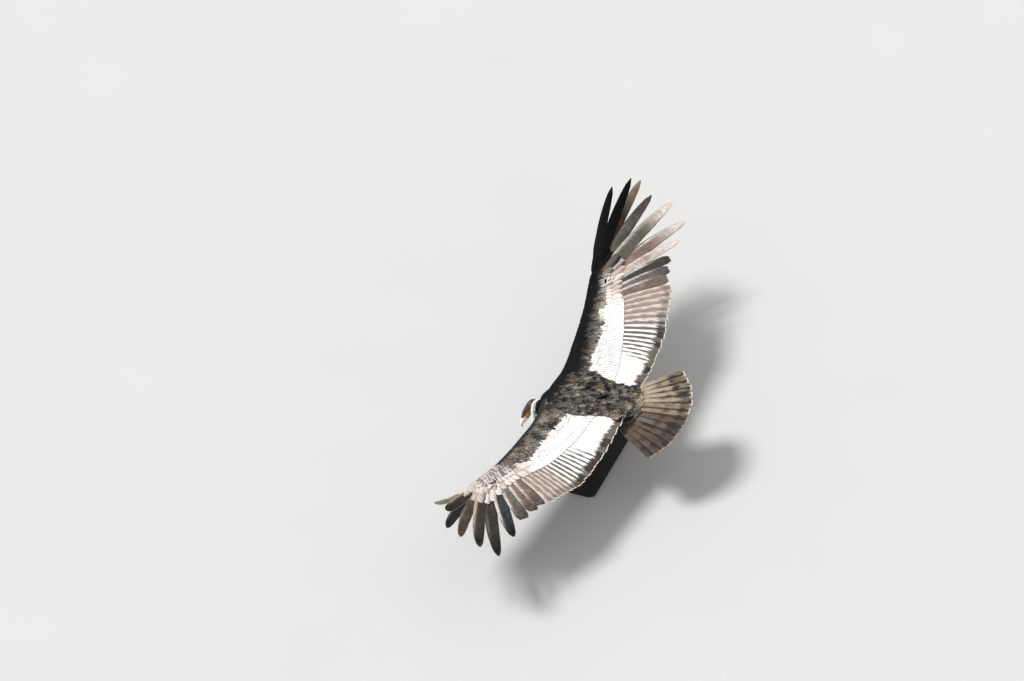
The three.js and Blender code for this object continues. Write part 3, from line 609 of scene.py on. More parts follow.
finish = Finish("eye", 0.08, 0.4)
finish.shader.inputs["Coat Weight"].default_value = 0.5
spokes = finish.noise(finish.object_place(), 1400)
finish.colour(finish.mix(finish.ramp(spokes, 0.3, 0.7, 0.0, 0.35), finish.attribute("Ground"), PUPIL))
polar, turn = np.linspace(0.02, math.pi - 0.02, 32), np.linspace(0, 2 * math.pi, 48, endpoint=False)
polar, turn = np.meshgrid(polar, turn, indexing="ij")
off_axis = polar.ravel()
ring = toward(PUPIL, IRIS, blend(0.36, 0.42, off_axis) * (1 - 0.8 * blend(0.72, 0.82, off_axis)))
for name, side in SIDES:
    ball = np.stack([np.sin(polar) * np.cos(turn), side * np.cos(polar), np.sin(polar) * np.sin(turn)], -1)
    points, quads = joined([in_head(EYE_AT * [1, side, 1] + EYE_RADIUS * ball)])
    make_piece(f"eyeball_{name}", points, quads, finish.material, (f"eye_{name}",), {"Ground": ring})


# Bill. The upper half is a deep hooked sheath of horn, ivory from its tip to past the middle and
# dusky at its root, with an open nostril. The lower half fits under it.
BILL_UPPER = [
    [50, 0, 0, 14.5, 15], [66, 0, 1, 13.5, 13.5], [84, 0, 1, 12, 12.5], [99, 0, -3, 10, 11.5],
    [110, 0, -11, 7.5, 9.5], [115, 0, -21, 5, 7], [115, 0, -31, 2, 3],
]
BILL_LOWER = [
    [46, 0, -17, 13, 8], [64, 0, -17, 12, 7.5], [82, 0, -17, 9.5, 6.5], [96, 0, -16.5, 6, 4.5],
    [103, 0, -15.5, 2.5, 2],
]
NOSTRIL_AT = [71, 3]
NOSTRIL_REACH = [6.0, 2.6]
IVORY = paint("f7f2e4")
DUSKY_HORN = paint("6b4d33")
CERE = paint("8a6136")

finish = Finish("bill_horn", 0.32, 0.5)
place = finish.object_place()
streak = finish.ramp(finish.noise(place, 240), 0.3, 0.7, 0.82, 1.06)
finish.colour(finish.shaded(finish.attribute("Ground"), streak))
finish.bump(finish.noise(place, 500), 0.25, 0.0004)
for name, table in (("bill_upper", BILL_UPPER), ("bill_lower", BILL_LOWER)):
    tube = tube_on(table, 48, 90)
    x, y, z = tube.reshape(-1, 3).T
    pit = 0 * x
    if name == "bill_upper":
        away = [(x - NOSTRIL_AT[0]) / NOSTRIL_REACH[0], (z - NOSTRIL_AT[1]) / NOSTRIL_REACH[1]]
        pit = blend(1.15, 0.7, np.hypot(*away))
        y = y * (1 - 0.55 * pit)
        z = z + blend(0.82, 1, np.abs(z - 1) / 14) * 0.8 * (z > 0)
    points, quads = joined([in_head(np.stack([x, y, z], -1)).reshape(tube.shape)])
    ground = toward(IVORY, DUSKY_HORN, blend(68, 54, x))
    ground = toward(ground, CERE, np.maximum(blend(60, 54, x), pit))
    make_piece(f"{name}_horn", points, quads, finish.material, (name,), {"Ground": ground})


# Comb. The male's fleshy caruncle, from the forehead over the bill's root: a tall lobed ridge
# with swellings along its sides and a deep-creased, pebbled skin.
COMB = [
    [-28, 0, 25, 3, 4], [-16, 0, 27, 7, 10], [8, 0, 27, 9, 15], [32, 0, 23, 9.5, 17],
    [54, 0, 17, 9, 14], [70, 0, 13, 7, 9], [78, 0, 12, 3, 4],
]
COMB_LOBES = 14
COMB_VOXEL = 1.1
COMB_DARK = paint("3c302d")
COMB_WARM = paint("7d6256")

tubes = [in_head(tube_on(COMB, 32, 48))]
draw = np.random.default_rng(11)
for k in range(COMB_LOBES):
    x, _, z, half, high = read(COMB, np.array(0.14 + 0.72 * (k // 2) / (COMB_LOBES / 2 - 1)))
    swell = [x + draw.uniform(-2, 2), (k % 2 * 2 - 1) * half * 0.6, z + high * draw.uniform(-0.35, 0.55)]
    size = draw.uniform(4.5, 7.5)
    lobe = [[swell[0] + size * step, swell[1], swell[2], size * wide, size * wide * 1.1]
            for step, wide in ((-1, 0.15), (-0.6, 0.75), (0, 1), (0.6, 0.75), (1, 0.15))]
    tubes.append(in_head(tube_on(lobe, 16, 14)))
points, quads = remeshed(tubes, COMB_VOXEL, 3)
x, y, z = from_head(points).T
crease = 0.5 * np.sin((x + 2 * drift(x, z, 14, 2)) * 2 * math.pi / 5.5)
crease = crease + 0.35 * drift(x * 1.3, z + y, 6, 6)
points = points + point_normals(points, quads) * crease[:, None]
warm = np.clip(0.45 + 0.4 * drift(x, z, 18, 12), 0, 1)
finish = Finish("comb_skin", 0.6)
place = finish.object_place()
pebbles = finish.ramp(finish.cells(place, 700), 0.1, 0.6)
finish.colour(finish.mix(pebbles, COMB_DARK * 0.7, finish.attribute("Ground")))
finish.bump(finish.cells(place, 600), 0.6, 0.0008)
ground = toward(COMB_DARK, COMB_WARM, warm)
make_piece("comb_flesh", points, quads, finish.material, ("comb",), {"Ground": ground})


# Plumage. Every feather is a closed vane: a raised shaft, webs that thin to their edges and a
# rounded tip. Its colour is a ground colour with a fringe, and the barbs show as fine slanted
# lines. The same vane serves from the ten primaries down to the small feathers of the breast.
def plumage_finish(name, roughness, sheen, depth):
    """Ground and fringe colours from attributes. The fringe's mask comes from the place across
    and along the vane, and slanted streaks of noise along the barbs vary colour and height.
    The vane darkens to its root by the given depth, as painted shade where it lies under its neighbours, and
    along its shaft, the quill's own dark colour."""
    finish = Finish(name, roughness, 0.05)
    finish.shader.inputs["Sheen Weight"].default_value = sheen
    calc = finish.math
    across, along, _ = finish.parts(finish.attribute("Vane", "Vector"))
    edge, tip, streaks = finish.parts(finish.attribute("Trim", "Vector"))
    metres_along, metres_across, number = finish.parts(finish.attribute("Barb", "Vector"))
    off_shaft = calc("ABSOLUTE", calc("MULTIPLY_ADD", across, 2.0, -1.0))
    slant = calc("MULTIPLY_ADD", calc("ABSOLUTE", metres_across), -0.8, metres_along)
    barb_place = finish.vector(calc("MULTIPLY", slant, 900.0), calc("MULTIPLY", metres_across, 40.0), number)
    barbs = finish.noise(barb_place, 1.0, 2.0)
    rough = calc("MULTIPLY_ADD", barbs, 0.1, -0.05)
    masks = []
    for at, ragged, size in ((off_shaft, rough, edge), (along, calc("MULTIPLY", rough, 0.12), tip)):
        begin, full = calc("SUBTRACT", 1.0, size), calc("MULTIPLY_ADD", size, -0.45, 1.0)
        masks.append(finish.ramp(calc("ADD", at, ragged), begin, full))
    colour = finish.mix(calc("MAXIMUM", *masks), finish.attribute("Ground"), finish.attribute("Fringe"))
    colour = finish.shaded(colour, finish.ramp(barbs, 0.3, 0.7, calc("SUBTRACT", 1.0, streaks), 1.06))
    patch = finish.ramp(finish.noise(finish.object_place(), 30), 0.3, 0.7, 0.84, 1.08)
    # Painted shade: each vane darkens towards its root, where it goes under the feathers before it, and
    # lightens a little at its tip.
    root_shade_gradient = finish.ramp(along, 0.35, 1.0, 1.0 - depth, 1.0 + 0.25 * depth)
    quill = finish.ramp(off_shaft, 0.0, 0.16, 1.0 - depth, 1.0)
    finish.colour(finish.shaded(colour, calc("MULTIPLY", patch, calc("MULTIPLY", root_shade_gradient, quill))))
    finish.bump(barbs, 0.35, 0.0007)
    return finish.material


FINE = np.array([-1, -0.8, -0.55, -0.3, -0.08, 0, 0.08, 0.3, 0.55, 0.8, 1])
MEDIUM = np.array([-1, -0.62, -0.1, 0, 0.1, 0.62, 1])
SMALL = np.array([-1, -0.5, 0, 0.5, 1])


def tapered(count, power):
    """Shares along a vane, closer together towards its tip."""
    return 1 - (1 - np.linspace(0, 1, count)) ** power


def web(share, root, full, tip):
    """Share of the full width: it widens from the root until `full`, and rounds off past `tip`."""
    widening = root + (1 - root) * blend(0, full, share)
    rounding = np.sqrt(np.clip(1 - (np.maximum(share - tip, 0) / (1.012 - tip)) ** 2, 0, 1))
    return widening * rounding


def both_faces(columns):
    """Places across a vane, over its upper face and back below."""
    return np.concatenate([columns, columns[-2:0:-1]])


def vanes(middle, across, out, left, right, share, columns, thick, ground, fringe, trim, seed,
          under=None, camber=0.06, shaft=1.2, rag=0.012, bake=None):
    """Closed vanes on given midlines. A point is the midline, plus its column's share of the half
    width across, plus outwards the lens's half thickness, the raised shaft and the cambered drop.
    Colours and trim are given once, for each vane or for each point."""
    draw = np.random.default_rng(seed)
    count, rings, _ = middle.shape
    side = both_faces(columns)
    shape = (count, rings, len(side))
    level = np.concatenate([np.ones(len(columns)), -np.ones(len(columns) - 2)])
    level[[0, len(columns) - 1]] = 0
    half = np.where(side > 0, right[..., None], left[..., None])
    ragged = 1 - rag * draw.random(shape) * np.abs(side) ** 4
    ragged[..., 0] -= 2.5 * rag * (draw.random((count, rings)) > 0.9)
    spread = side * half * ragged
    lens = level * thick * (1 - 0.7 * side ** 2) / 2
    ridge = shaft * np.maximum(0, 1 - np.abs(side) / 0.079) * level * (1 - 0.75 * share[:, None])
    lift = lens + ridge - camber * side ** 2 * half
    points = middle[:, :, None] + across[:, :, None] * spread[..., None] + out[:, :, None] * lift[..., None]
    ground, fringe, trim = (
        np.broadcast_to(values if np.ndim(values) == 4 else np.reshape(values, (-1, 1, 1, 3)), (*shape, 3))
        for values in (ground, fringe, trim)
    )
    if under is not None:
        below = (level < 0)[:, None]
        ground, fringe = np.where(below, under, ground), np.where(below, under * 1.2, fringe)
    length = np.cumsum(np.linalg.norm(np.diff(middle, axis=1, prepend=middle[:, :1]), axis=-1), axis=1)
    number = np.broadcast_to(draw.uniform(0, 90, count)[:, None, None], shape)
    grid = lambda values: np.broadcast_to(values, shape)
    return {
        "points": points, "rings": rings, "sides": len(side), "bake": bake,
        "Ground": ground, "Fringe": fringe, "Trim": trim,
        "Vane": np.stack([grid(0.5 + 0.5 * side), grid(share[:, None]), grid(0.0)], -1),
        "Barb": np.stack([grid(length[..., None] * 0.001), spread * 0.001, number], -1),
    }


# Side of a small feather's patch on the map, as a share of it.
PATCH = 0.003


def feather_piece(name, groups, material, nodes=()):
    """One piece of many vanes. On its OFBake map a small feather is a patch at its root's place,
    and large feathers lie side by side as strips."""
    points, quads, corners, start = [], [], [], 0
    for group in groups:
        count = len(group["points"])
        faces, along, around = tube_faces(group["rings"], group["sides"])
        flat = group["points"].reshape(count, -1, 3)
        many, inward = turned_out(flat, faces)
        size = group["rings"] * group["sides"]
        many = many + (start + size * np.arange(count))[:, None, None]
        start += size * count
        u = np.repeat((around / group["sides"])[None], count, 0)
        v = np.repeat((along / (group["rings"] - 1))[None], count, 0)
        u[inward], v[inward] = u[inward][:, :, ::-1], v[inward][:, :, ::-1]
        if group["bake"] is None:
            u = (np.arange(count)[:, None, None] + 0.04 + 0.92 * u) / count
            v = 0.01 + 0.98 * v
        else:
            u = group["bake"][:, 0, None, None] + PATCH * u
            v = group["bake"][:, 1, None, None] + PATCH * v
        points.append(flat.reshape(-1, 3))
        quads.append(many.reshape(-1, 4))
        corners.append(np.stack([u, v], -1).reshape(-1, 2))
    flat = lambda title: np.concatenate([group[title].reshape(-1, 3) for group in groups])
    make_piece(
        name, np.concatenate(points), np.concatenate(quads), material, nodes,
        {"Ground": np.clip(flat("Ground"), 0, 1), "Fringe": np.clip(flat("Fringe"), 0, 1)},
        {title: flat(title) for title in ("Trim", "Vane", "Barb")}, {"OFBake": np.concatenate(corners)},
    )


def lying(surface, u, v, turn_u, turn_v, length, share, low, high, sign):
    """Midlines and frames of vanes that lie on a surface: each runs from its root (u, v) at the
    given rates, raised along the normal from `low` at the root to `high` at the tip."""
    turn_u, turn_v, low, high = (value + 0 * length for value in (turn_u, turn_v, low, high))
    at_u = u[:, None] + turn_u[:, None] * length[:, None] * share
    at_v = v[:, None] + turn_v[:, None] * length[:, None] * share
    near = 1e-3
    base = surface(at_u, at_v)
    out = sign * unit(np.cross(
        (surface(at_u + near, at_v) - base) / near, (surface(at_u, at_v + near) - base) / near
    ))
    lift = low[:, None] + (high - low)[:, None] * share
    middle = base + out * lift[..., None]
    way = unit(np.gradient(middle, axis=1))
    across = unit(np.cross(way, out))
    return middle, across, np.cross(across, way)


WHITE = paint("faf8f4")
CREAM = paint("e6dccb")
PINKISH = paint("c4b5ad")
BUFF = paint("b3a48e")
TAN = paint("92836e")
BROWN = paint("63544a")
DUSK = paint("3f3934")
GREY = paint("736d66")
SLATE = paint("45484a")
NAVY = paint("1c2126")
BLACK = paint("111112")
UNDER_GREY = paint("444243")
soft_plumage = plumage_finish("soft_plumage", 0.8, 0.015, 0.3)
flight_plumage = plumage_finish("flight_plumage", 0.6, 0.0, 0.0)


# Wings, flight feathers. Ten primaries grow from the hand and twenty-four secondaries from the
# arm. Each one's outer edge rides over the next one out. The outer primaries stand apart as
# fingers, bent up by the air that carries the bird.
SECONDARIES = 24
PRIMARIES = 10
# Quills' roots, outwards and forwards.
ROOTS = {"first": (114, -92), "elbow": (318, -50), "wrist": (672, 86)}
HAND_ROOTS = ((702, 98), (922, 166))
ELBOW_SHARE = 4 / 14
SECONDARY_TIPS = (106, 952)
# The primaries' tips, outwards, forwards and up, and their widths.
PRIMARY_TIPS = np.array([
    [1016, -256, 133, 74], [1084, -240, 145, 74], [1170, -214, 152, 76], [1327, -209, 150, 76],
    [1500, -182, 149, 78], [1549, -103, 247, 76], [1532, 14, 292, 66], [1556, 76, 374, 64],
    [1484, 96, 443, 60], [1419, 192, 422, 52],
], float)
SECONDARY_WIDTHS = (50, 68)
PRIMARY_WEB = [[0.2], [0.62], [0.98], [1], [0.98], [0.82], [0.56], [0.14]]
PRIMARY_WEB_AT = [0, 0.22, 0.36, 0.5, 0.68, 0.83, 0.94, 1]
PRIMARY_BOW = 0.05
VANE_STEP = 1.8
FLIGHT_RINGS = 56


def flight_feathers():
    """Start and tip of each flight feather, its width, its bow to the front, how late it rises,
    its upward bulge and how free it stands, as one row of arrays from the body outwards."""
    share = np.linspace(0, 1, SECONDARIES)
    first, elbow, wrist = (np.array(ROOTS[name], float) for name in ("first", "elbow", "wrist"))
    inner = np.clip(share / ELBOW_SHARE, 0, 1)[:, None]
    outer = np.clip((share - ELBOW_SHARE) / (1 - ELBOW_SHARE), 0, 1)[:, None]
    root = first + (elbow - first) * inner + (wrist - elbow) * outer
    tip_out = SECONDARY_TIPS[0] + np.ptp(SECONDARY_TIPS) * (0.76 * share + 0.24 * share ** 2)
    rear = at_station(TRAILING_EDGE, tip_out)
    jitter = np.random.default_rng(4).uniform(-5, 5, SECONDARIES)
    tips = np.stack([tip_out, -rear[:, 0] + jitter, rear[:, 1]], -1)
    hand = np.linspace(0, 1, len(PRIMARY_TIPS))
    hand_root = np.array(HAND_ROOTS[0]) + np.diff(HAND_ROOTS, axis=0) * hand[:, None]
    root = np.concatenate([root, hand_root])
    start = np.stack([root[:, 0], -root[:, 1], wing_height(root[:, 0], root[:, 1])], -1)
    tips = np.concatenate([tips, PRIMARY_TIPS[:, :3] * [1, -1, 1]])
    arm = np.ones(SECONDARIES)
    return {
        "start": start, "tip": tips,
        "width": np.concatenate([np.interp(share, [0, 1], SECONDARY_WIDTHS), PRIMARY_TIPS[:, 3]]),
        "bow": np.concatenate([0.01 * arm, PRIMARY_BOW * (0.4 + 0.6 * hand)]),
        "rise": np.concatenate([arm, 1 + 0.7 * hand]),
        "bulge": np.concatenate([16 * arm, 16 - 10 * hand]),
        "free": np.concatenate([0 * arm, np.clip((np.arange(PRIMARIES) - 2) / 2, 0, 1)]),
    }


def in_sheet(feathers, share, reach, lift, side, step=VANE_STEP):
    """Frames of a row of feathers in the sheet of their neighbours' midlines. A midline runs from
    start to tip, bows to the front and bulges upwards as four times the share times what is left."""
    at = np.asarray(share)[None] * np.asarray(reach)[:, None]
    column = lambda title: feathers[title][:, None]
    arch = 4 * at * (1 - at)
    lines = column("start") + (feathers["tip"] - feathers["start"])[:, None] * at[..., None]
    run = feathers["tip"] - feathers["start"]
    lines[..., 0] += column("bow") * arch * run[:, None, 1]
    lines[..., 1] -= column("bow") * arch * run[:, None, 0]
    lines[..., 2] = column("start")[..., 2] + run[:, None, 2] * at ** column("rise") + column("bulge") * arch
    way = unit(np.gradient(lines, axis=1))
    spread = np.gradient(lines, axis=0)
    spread[..., 2] *= 1 - 0.7 * column("free") * np.clip((at - 0.55) / 0.35, 0, 1)
    spread -= way * (spread * way).sum(-1, keepdims=True)
    pitch = np.linalg.norm(spread, axis=-1, keepdims=True)
    across = spread / pitch
    out = np.cross(across, way)
    out = out * np.where(out[..., 2:] < 0, -1, 1)
    lines = lines + out * np.asarray(lift)[..., None]
    across = across + out * step / pitch
    return lines * [side, 1, 1], across * [side, 1, 1], out * [side, 1, 1]


def resampled(feathers, count):
    """The same row of feathers with another count, spread evenly over it."""
    index = np.arange(len(feathers["width"]))
    at = np.linspace(0, index[-1], count)
    even = lambda values: np.stack([np.interp(at, index, column) for column in values.T], -1)
    return {
        title: np.interp(at, index, values) if values.ndim == 1 else even(values)
        for title, values in feathers.items()
    }


PINK_BROWN = paint("84736a")
PALE_PINK = paint("ddd2cb")
TIP_BAND = 42


def secondary_ground(share, side_of, lengths, seed):
    """White webs with a dark scalloped band at the tip. From the middle of the wing outwards a
    dark stripe along each feather widens, and the outermost turn pinkish tan with pale edges."""
    count = len(lengths)
    k = np.linspace(0, 1, count)[:, None, None]
    t, s = share[None, :, None], side_of[None, None]
    draw = np.random.default_rng(seed)
    band = ((TIP_BAND + draw.uniform(-9, 10, count)) / lengths)[:, None, None]
    wobble = 0.05 * np.sin(30 * t + 9 * k * count)
    stripe = 0.13 + 0.2 * blend(0.45, 0.9, k)
    shown = blend(0.36, 0.44, k) * blend(1.1, 1.6, t + 1.9 * k)
    in_stripe = blend(stripe + 0.16, stripe, np.abs(s - 0.16) + wobble) * shown
    outer = blend(0.7, 0.86, k)
    stripe_colour = toward(DUSK * 1.3, PINK_BROWN, outer)
    colour = toward(toward(WHITE, PINKISH * 1.12, outer), stripe_colour, in_stripe * (0.95 - 0.1 * outer))
    tip = blend(1 - 1.35 * band, 1 - 0.95 * band, t + 0.02 * np.sin(9 * s))
    tip_colour = np.where(draw.random((count, 1)) > 0.35, DUSK, GREY * 0.8)
    return toward(colour, tip_colour[:, None, None], tip * (1 - 0.55 * outer))


# Each primary's colour, its leading edge's colour and share, and its tip's colour. The right wing's two
# outermost ones are black with navy edges: painted shade, as they are turned away from the light.
LEFT_FINGERS = [
    (PINK_BROWN, PALE_PINK, 0.45, DUSK), (PINK_BROWN, PALE_PINK, 0.45, DUSK),
    (GREY, PALE_PINK, 0.45, DUSK), (SLATE * 0.8, PALE_PINK, 0.42, BLACK),
    (DUSK * 1.2, CREAM, 0.13, BLACK), (DUSK * 1.35, CREAM, 0.24, BLACK),
    (BROWN * 0.85, CREAM, 0.22, DUSK), (DUSK * 1.2, PALE_PINK, 0.2, BLACK),
    (DUSK, PALE_PINK, 0.16, BLACK), (TAN, PALE_PINK, 0.2, TAN),
]
RIGHT_FINGERS = [
    (PINK_BROWN, PALE_PINK, 0.45, BROWN), (GREY, PALE_PINK, 0.42, SLATE),
    (SLATE, PALE_PINK, 0.45, DUSK), (PINKISH * 0.95, PALE_PINK, 0.42, PALE_PINK),
    (PINK_BROWN * 1.15, PALE_PINK, 0.4, PALE_PINK), (GREY * 0.8, CREAM, 0.22, CREAM),
    (GREY * 0.62, BUFF, 0.2, DUSK), (BROWN * 0.7, BUFF, 0.12, TAN),
    # Painted shade: the right wing's ninth and tenth primaries, turned away from the light.
    (BLACK, NAVY, 0.05, BLACK), (BLACK, NAVY, 0.05, BLACK),
]


def primary_ground(fingers, share, side_of):
    """The feather's own colour, paler along its leading web, crossed by faint bars, and its tip's
    colour over the last part."""
    t, s = share[None, :, None], side_of[None, None]
    base, pale, ends = (np.stack([row[k] for row in fingers])[:, None, None] for k in (0, 1, 3))
    amount = np.array([row[2] for row in fingers])[:, None, None]
    phase = np.arange(len(fingers))[:, None, None]
    lead = blend(0.25, 0.7, s) * blend(0.02, 0.2, t) * (1 - blend(0.6, 0.95, t))
    colour = toward(base, pale, np.clip(lead * 2.4 * amount, 0, 1))
    cloud = 0.5 + 0.5 * np.sin(17 * t + 2.3 * s + 2.1 * phase) * np.sin(7 * t - 1.7 * s + phase)
    bars = 0.5 + 0.5 * np.sin(90 * t + 4 * np.abs(s) + 3 * np.sin(23 * t) + phase)
    shade = (0.78 + 0.34 * cloud) * (1 - 0.32 * bars * blend(0.3, 0.6, t))
    return toward(colour * shade[..., None], ends, blend(0.62, 0.96, t) * (0.55 + 0.4 * bars))


flight = flight_feathers()
flight_share = tapered(FLIGHT_RINGS, 1.25)
flight_lengths = np.linalg.norm(flight["tip"] - flight["start"], axis=-1)
total = len(flight_lengths)
ring_side = both_faces(FINE)
blunt = web(flight_share, 0.4, 0.35, 0.9)
finger = read(PRIMARY_WEB, np.interp(flight_share, PRIMARY_WEB_AT, np.linspace(0, 1, 8)))[:, 0]
finger_outlines = np.where(np.arange(PRIMARIES)[:, None] < 3, blunt, finger)
arm, hand = slice(0, SECONDARIES), slice(SECONDARIES, total)
for name, side, fingers in (("left", 1, LEFT_FINGERS), ("right", -1, RIGHT_FINGERS)):
    line, across, out = in_sheet(flight, flight_share, np.ones(total), np.zeros((total, 1)), side)
    webs = secondary_ground(flight_share, ring_side, flight_lengths[arm], 31 + side)
    finger_webs = primary_ground(fingers, flight_share, ring_side)
    finger_edges = np.stack([row[1] for row in fingers])
    for title, part, outline, uneven, trims, ground, fringe, seed, under, shaft, node in (
        ("secondaries", arm, web(flight_share, 0.45, 0.4, 0.93), 0.08, (0.06, 0.12),
         webs, CREAM, 21, UNDER_GREY, 1.2, "inner"),
        ("primaries", hand, finger_outlines, 0.2, (0.08, 0.22),
         finger_webs, finger_edges, 41, UNDER_GREY * 0.8, 1.6, "outer"),
    ):
        half = flight["width"][part, None] * outline / 2
        middle = line[part] + across[part] * (uneven * half)[..., None]
        tips = 7 / flight_lengths[part]
        trim = np.stack([trims[0] + 0 * tips, tips, trims[1] + 0 * tips], -1)
        group = vanes(
            middle, across[part], out[part], (1 + uneven) * half, (1 - uneven) * half, flight_share,
            FINE, 0.9, ground, fringe, trim, seed + side, under=under, camber=0.05, shaft=shaft,
        )
        feather_piece(f"{title}_{name}", [group], flight_plumage, (f"wing_{name}_{node}",))


# Wings, greater coverts. One to each flight feather, over its base: white along the arm, and slate with pale
# webs over the hand, except the right hand's outer ones, which are black as painted shade. A second, shorter
# tier lies on the first.
# Share of the flight feathers that is covered, at the first, the wrist and the last. Each tier has
# its part of that, its lift and its count. The hand's colours begin at these places in a row.
COVERT_REACH = (0.5, 0.4, 0.37)
COVERT_TIERS = ((1.0, 4.0, 44), (0.68, 6.0, 54))
HAND_FROM = {1: (18, 22), -1: (21.5, 25.5)}

for name, side in SIDES:
    groups = []
    for tier, (part, lift, count) in enumerate(COVERT_TIERS):
        row = resampled(flight, count)
        place = np.linspace(0, SECONDARIES + 9, count)
        covered = np.interp(place, [0, SECONDARIES, SECONDARIES + PRIMARIES], COVERT_REACH)
        share = tapered(26, 1.4)
        line, across, out = in_sheet(row, share, covered * part, np.full((count, 1), lift), side)
        half = row["width"][:, None] * web(share, 0.5, 0.4, 0.84) * (0.5 - 0.06 * tier)
        draw = np.random.default_rng(61 + side + 3 * tier)
        on_hand = blend(*HAND_FROM[side], place)
        half = half * (1 - 0.3 * on_hand)[:, None]
        # Painted shade: the right hand's outer coverts turn black, as that hand is turned away from the
        # light.
        right_hand_shade = blend(SECONDARIES + 3, SECONDARIES + 6, place) * (side < 0)
        pale = np.where(draw.random((count, 1)) > 0.4, PALE_PINK, PINKISH)
        dark = np.where(draw.random((count, 1)) > 0.5, SLATE, PINK_BROWN * 0.8)
        pale, dark = toward(pale, BLACK, right_hand_shade), toward(dark, BLACK, right_hand_shade)
        dark_web = blend(0.05, -0.5, both_faces(MEDIUM)) * (0.9 if side < 0 else 0.75)
        streaks = toward(pale[:, None, None], dark[:, None, None], dark_web)
        trim = np.stack([0.05 + 0.06 * on_hand, np.full(count, 0.04), np.full(count, 0.15)], -1)
        groups.append(vanes(
            line, across, out, half, half, share, MEDIUM, 0.8,
            toward(WHITE, streaks, on_hand[:, None, None]), toward(WHITE, pale, on_hand), trim,
            71 + side + tier, under=UNDER_GREY, camber=0.05, shaft=0.9,
        ))
    feather_piece(f"greater_coverts_{name}", groups, flight_plumage)


# Wings, lesser and median coverts. Short round feathers in rows from the leading edge back to the greater
# coverts: black along the edge, then mottled grey, brown and tan, then pure white. On the right wing the
# black edge band is far deeper and bluer: partly painted shade.
# Depths of the coverts behind the leading edge at the stations. The white panel's front edge, the
# dark band's depth and the sweep in degrees are each given at distances outwards.
COVERT_ZONE = [[215], [200], [182], [168], [60]]
COVERT_SPACING = 0.3224
EDGE_ROWS_TO = 70
EDGE_ROWS_FROM = 52
INNER_ROWS_FROM = 72
ROWS_OUT_TO = 945
PANEL_FRONT = {
    1: ([150, 190, 252, 309, 356, 451, 536, 608, 671, 705],
        [-82, -73, -58, -48, -42, -32, -26, -23, -36, -170]),
    -1: ([150, 190, 273, 372, 469, 552, 632, 694, 753, 790, 815],
         [-85, -78, -55, -38, -28, -15, -4, 0, -8, -14, -170]),
}
# The right wing's band is far deeper than the left's: its own black edge, widened with painted shade where
# the leading edge faces away from the light.
DARK_BAND = {
    1: ([100, 400, 700], [34, 26, 14]),
    -1: ([100, 300, 460, 700, 950], [190, 140, 98, 68, 66]),
}
MOTTLE_DARK = paint("33302e")
MOTTLE_MIDDLE = paint("6f6962")
MOTTLE_PALE = paint("aca08d")
SWEEP = ([70, 390, 680, 800, 950], [-4, 6, 22, 44, 70])


def wing_side(side, face):
    """The upper or lower face of a wing, as a function of distances outwards and forwards: the
    middle surface with the flesh's depth, or the coverts' own where that is more."""
    def at(outward, forward):
        share, high = chord(outward, forward)
        flesh = at_station(WING_FLESH, outward)[..., 0]
        hand = blend(700, 850, outward) * (face > 0)
        cover = (13 - 9 * hand if face > 0 else 5) * blend(0.35, 0.8, share / flesh)
        high = high - 15 * hand * blend(0.95, 1.5, share / flesh)
        depth = np.maximum(flesh_depth(outward, forward, face), cover)
        return np.stack([side * outward, -forward, high + face * depth], -1)
    return at


def wing_rows(depths, zone, growth, overlap, seed):
    """Roots of rows of coverts, outwards, forwards and behind the front edge, and their lengths.
    Each row lies a share of a feather's length behind the last, and ends where the zone, read at
    the same stations, is narrower than the row's depth."""
    draw = np.random.default_rng(seed)
    rows = []
    depth = depths[0]
    while depth < depths[1]:
        length = growth[0] + growth[1] * depth
        inner = EDGE_ROWS_FROM if depth < EDGE_ROWS_TO else INNER_ROWS_FROM
        outward = np.arange(inner, ROWS_OUT_TO, COVERT_SPACING * length)
        outward = outward + draw.uniform(-2.5, 2.5, len(outward))
        kept = outward[depth < at_station(zone, outward)[:, 0]]
        behind = depth + draw.uniform(-2, 2, len(kept))
        rows.append([kept, behind, length * draw.uniform(0.88, 1.12, len(kept))])
        depth += overlap * length
    outward, behind, length = np.concatenate(rows, 1)
    return outward, at_station(LEADING_EDGE, outward)[:, 0] - behind, behind, length


def mottled(field):
    """Dark, middle and pale tones of worn plumage by a field of about 0 to 1, with soft steps."""
    colour = toward(MOTTLE_DARK, MOTTLE_MIDDLE, blend(0.15, 0.5, field))
    return toward(colour, MOTTLE_PALE, blend(0.6, 0.95, field))


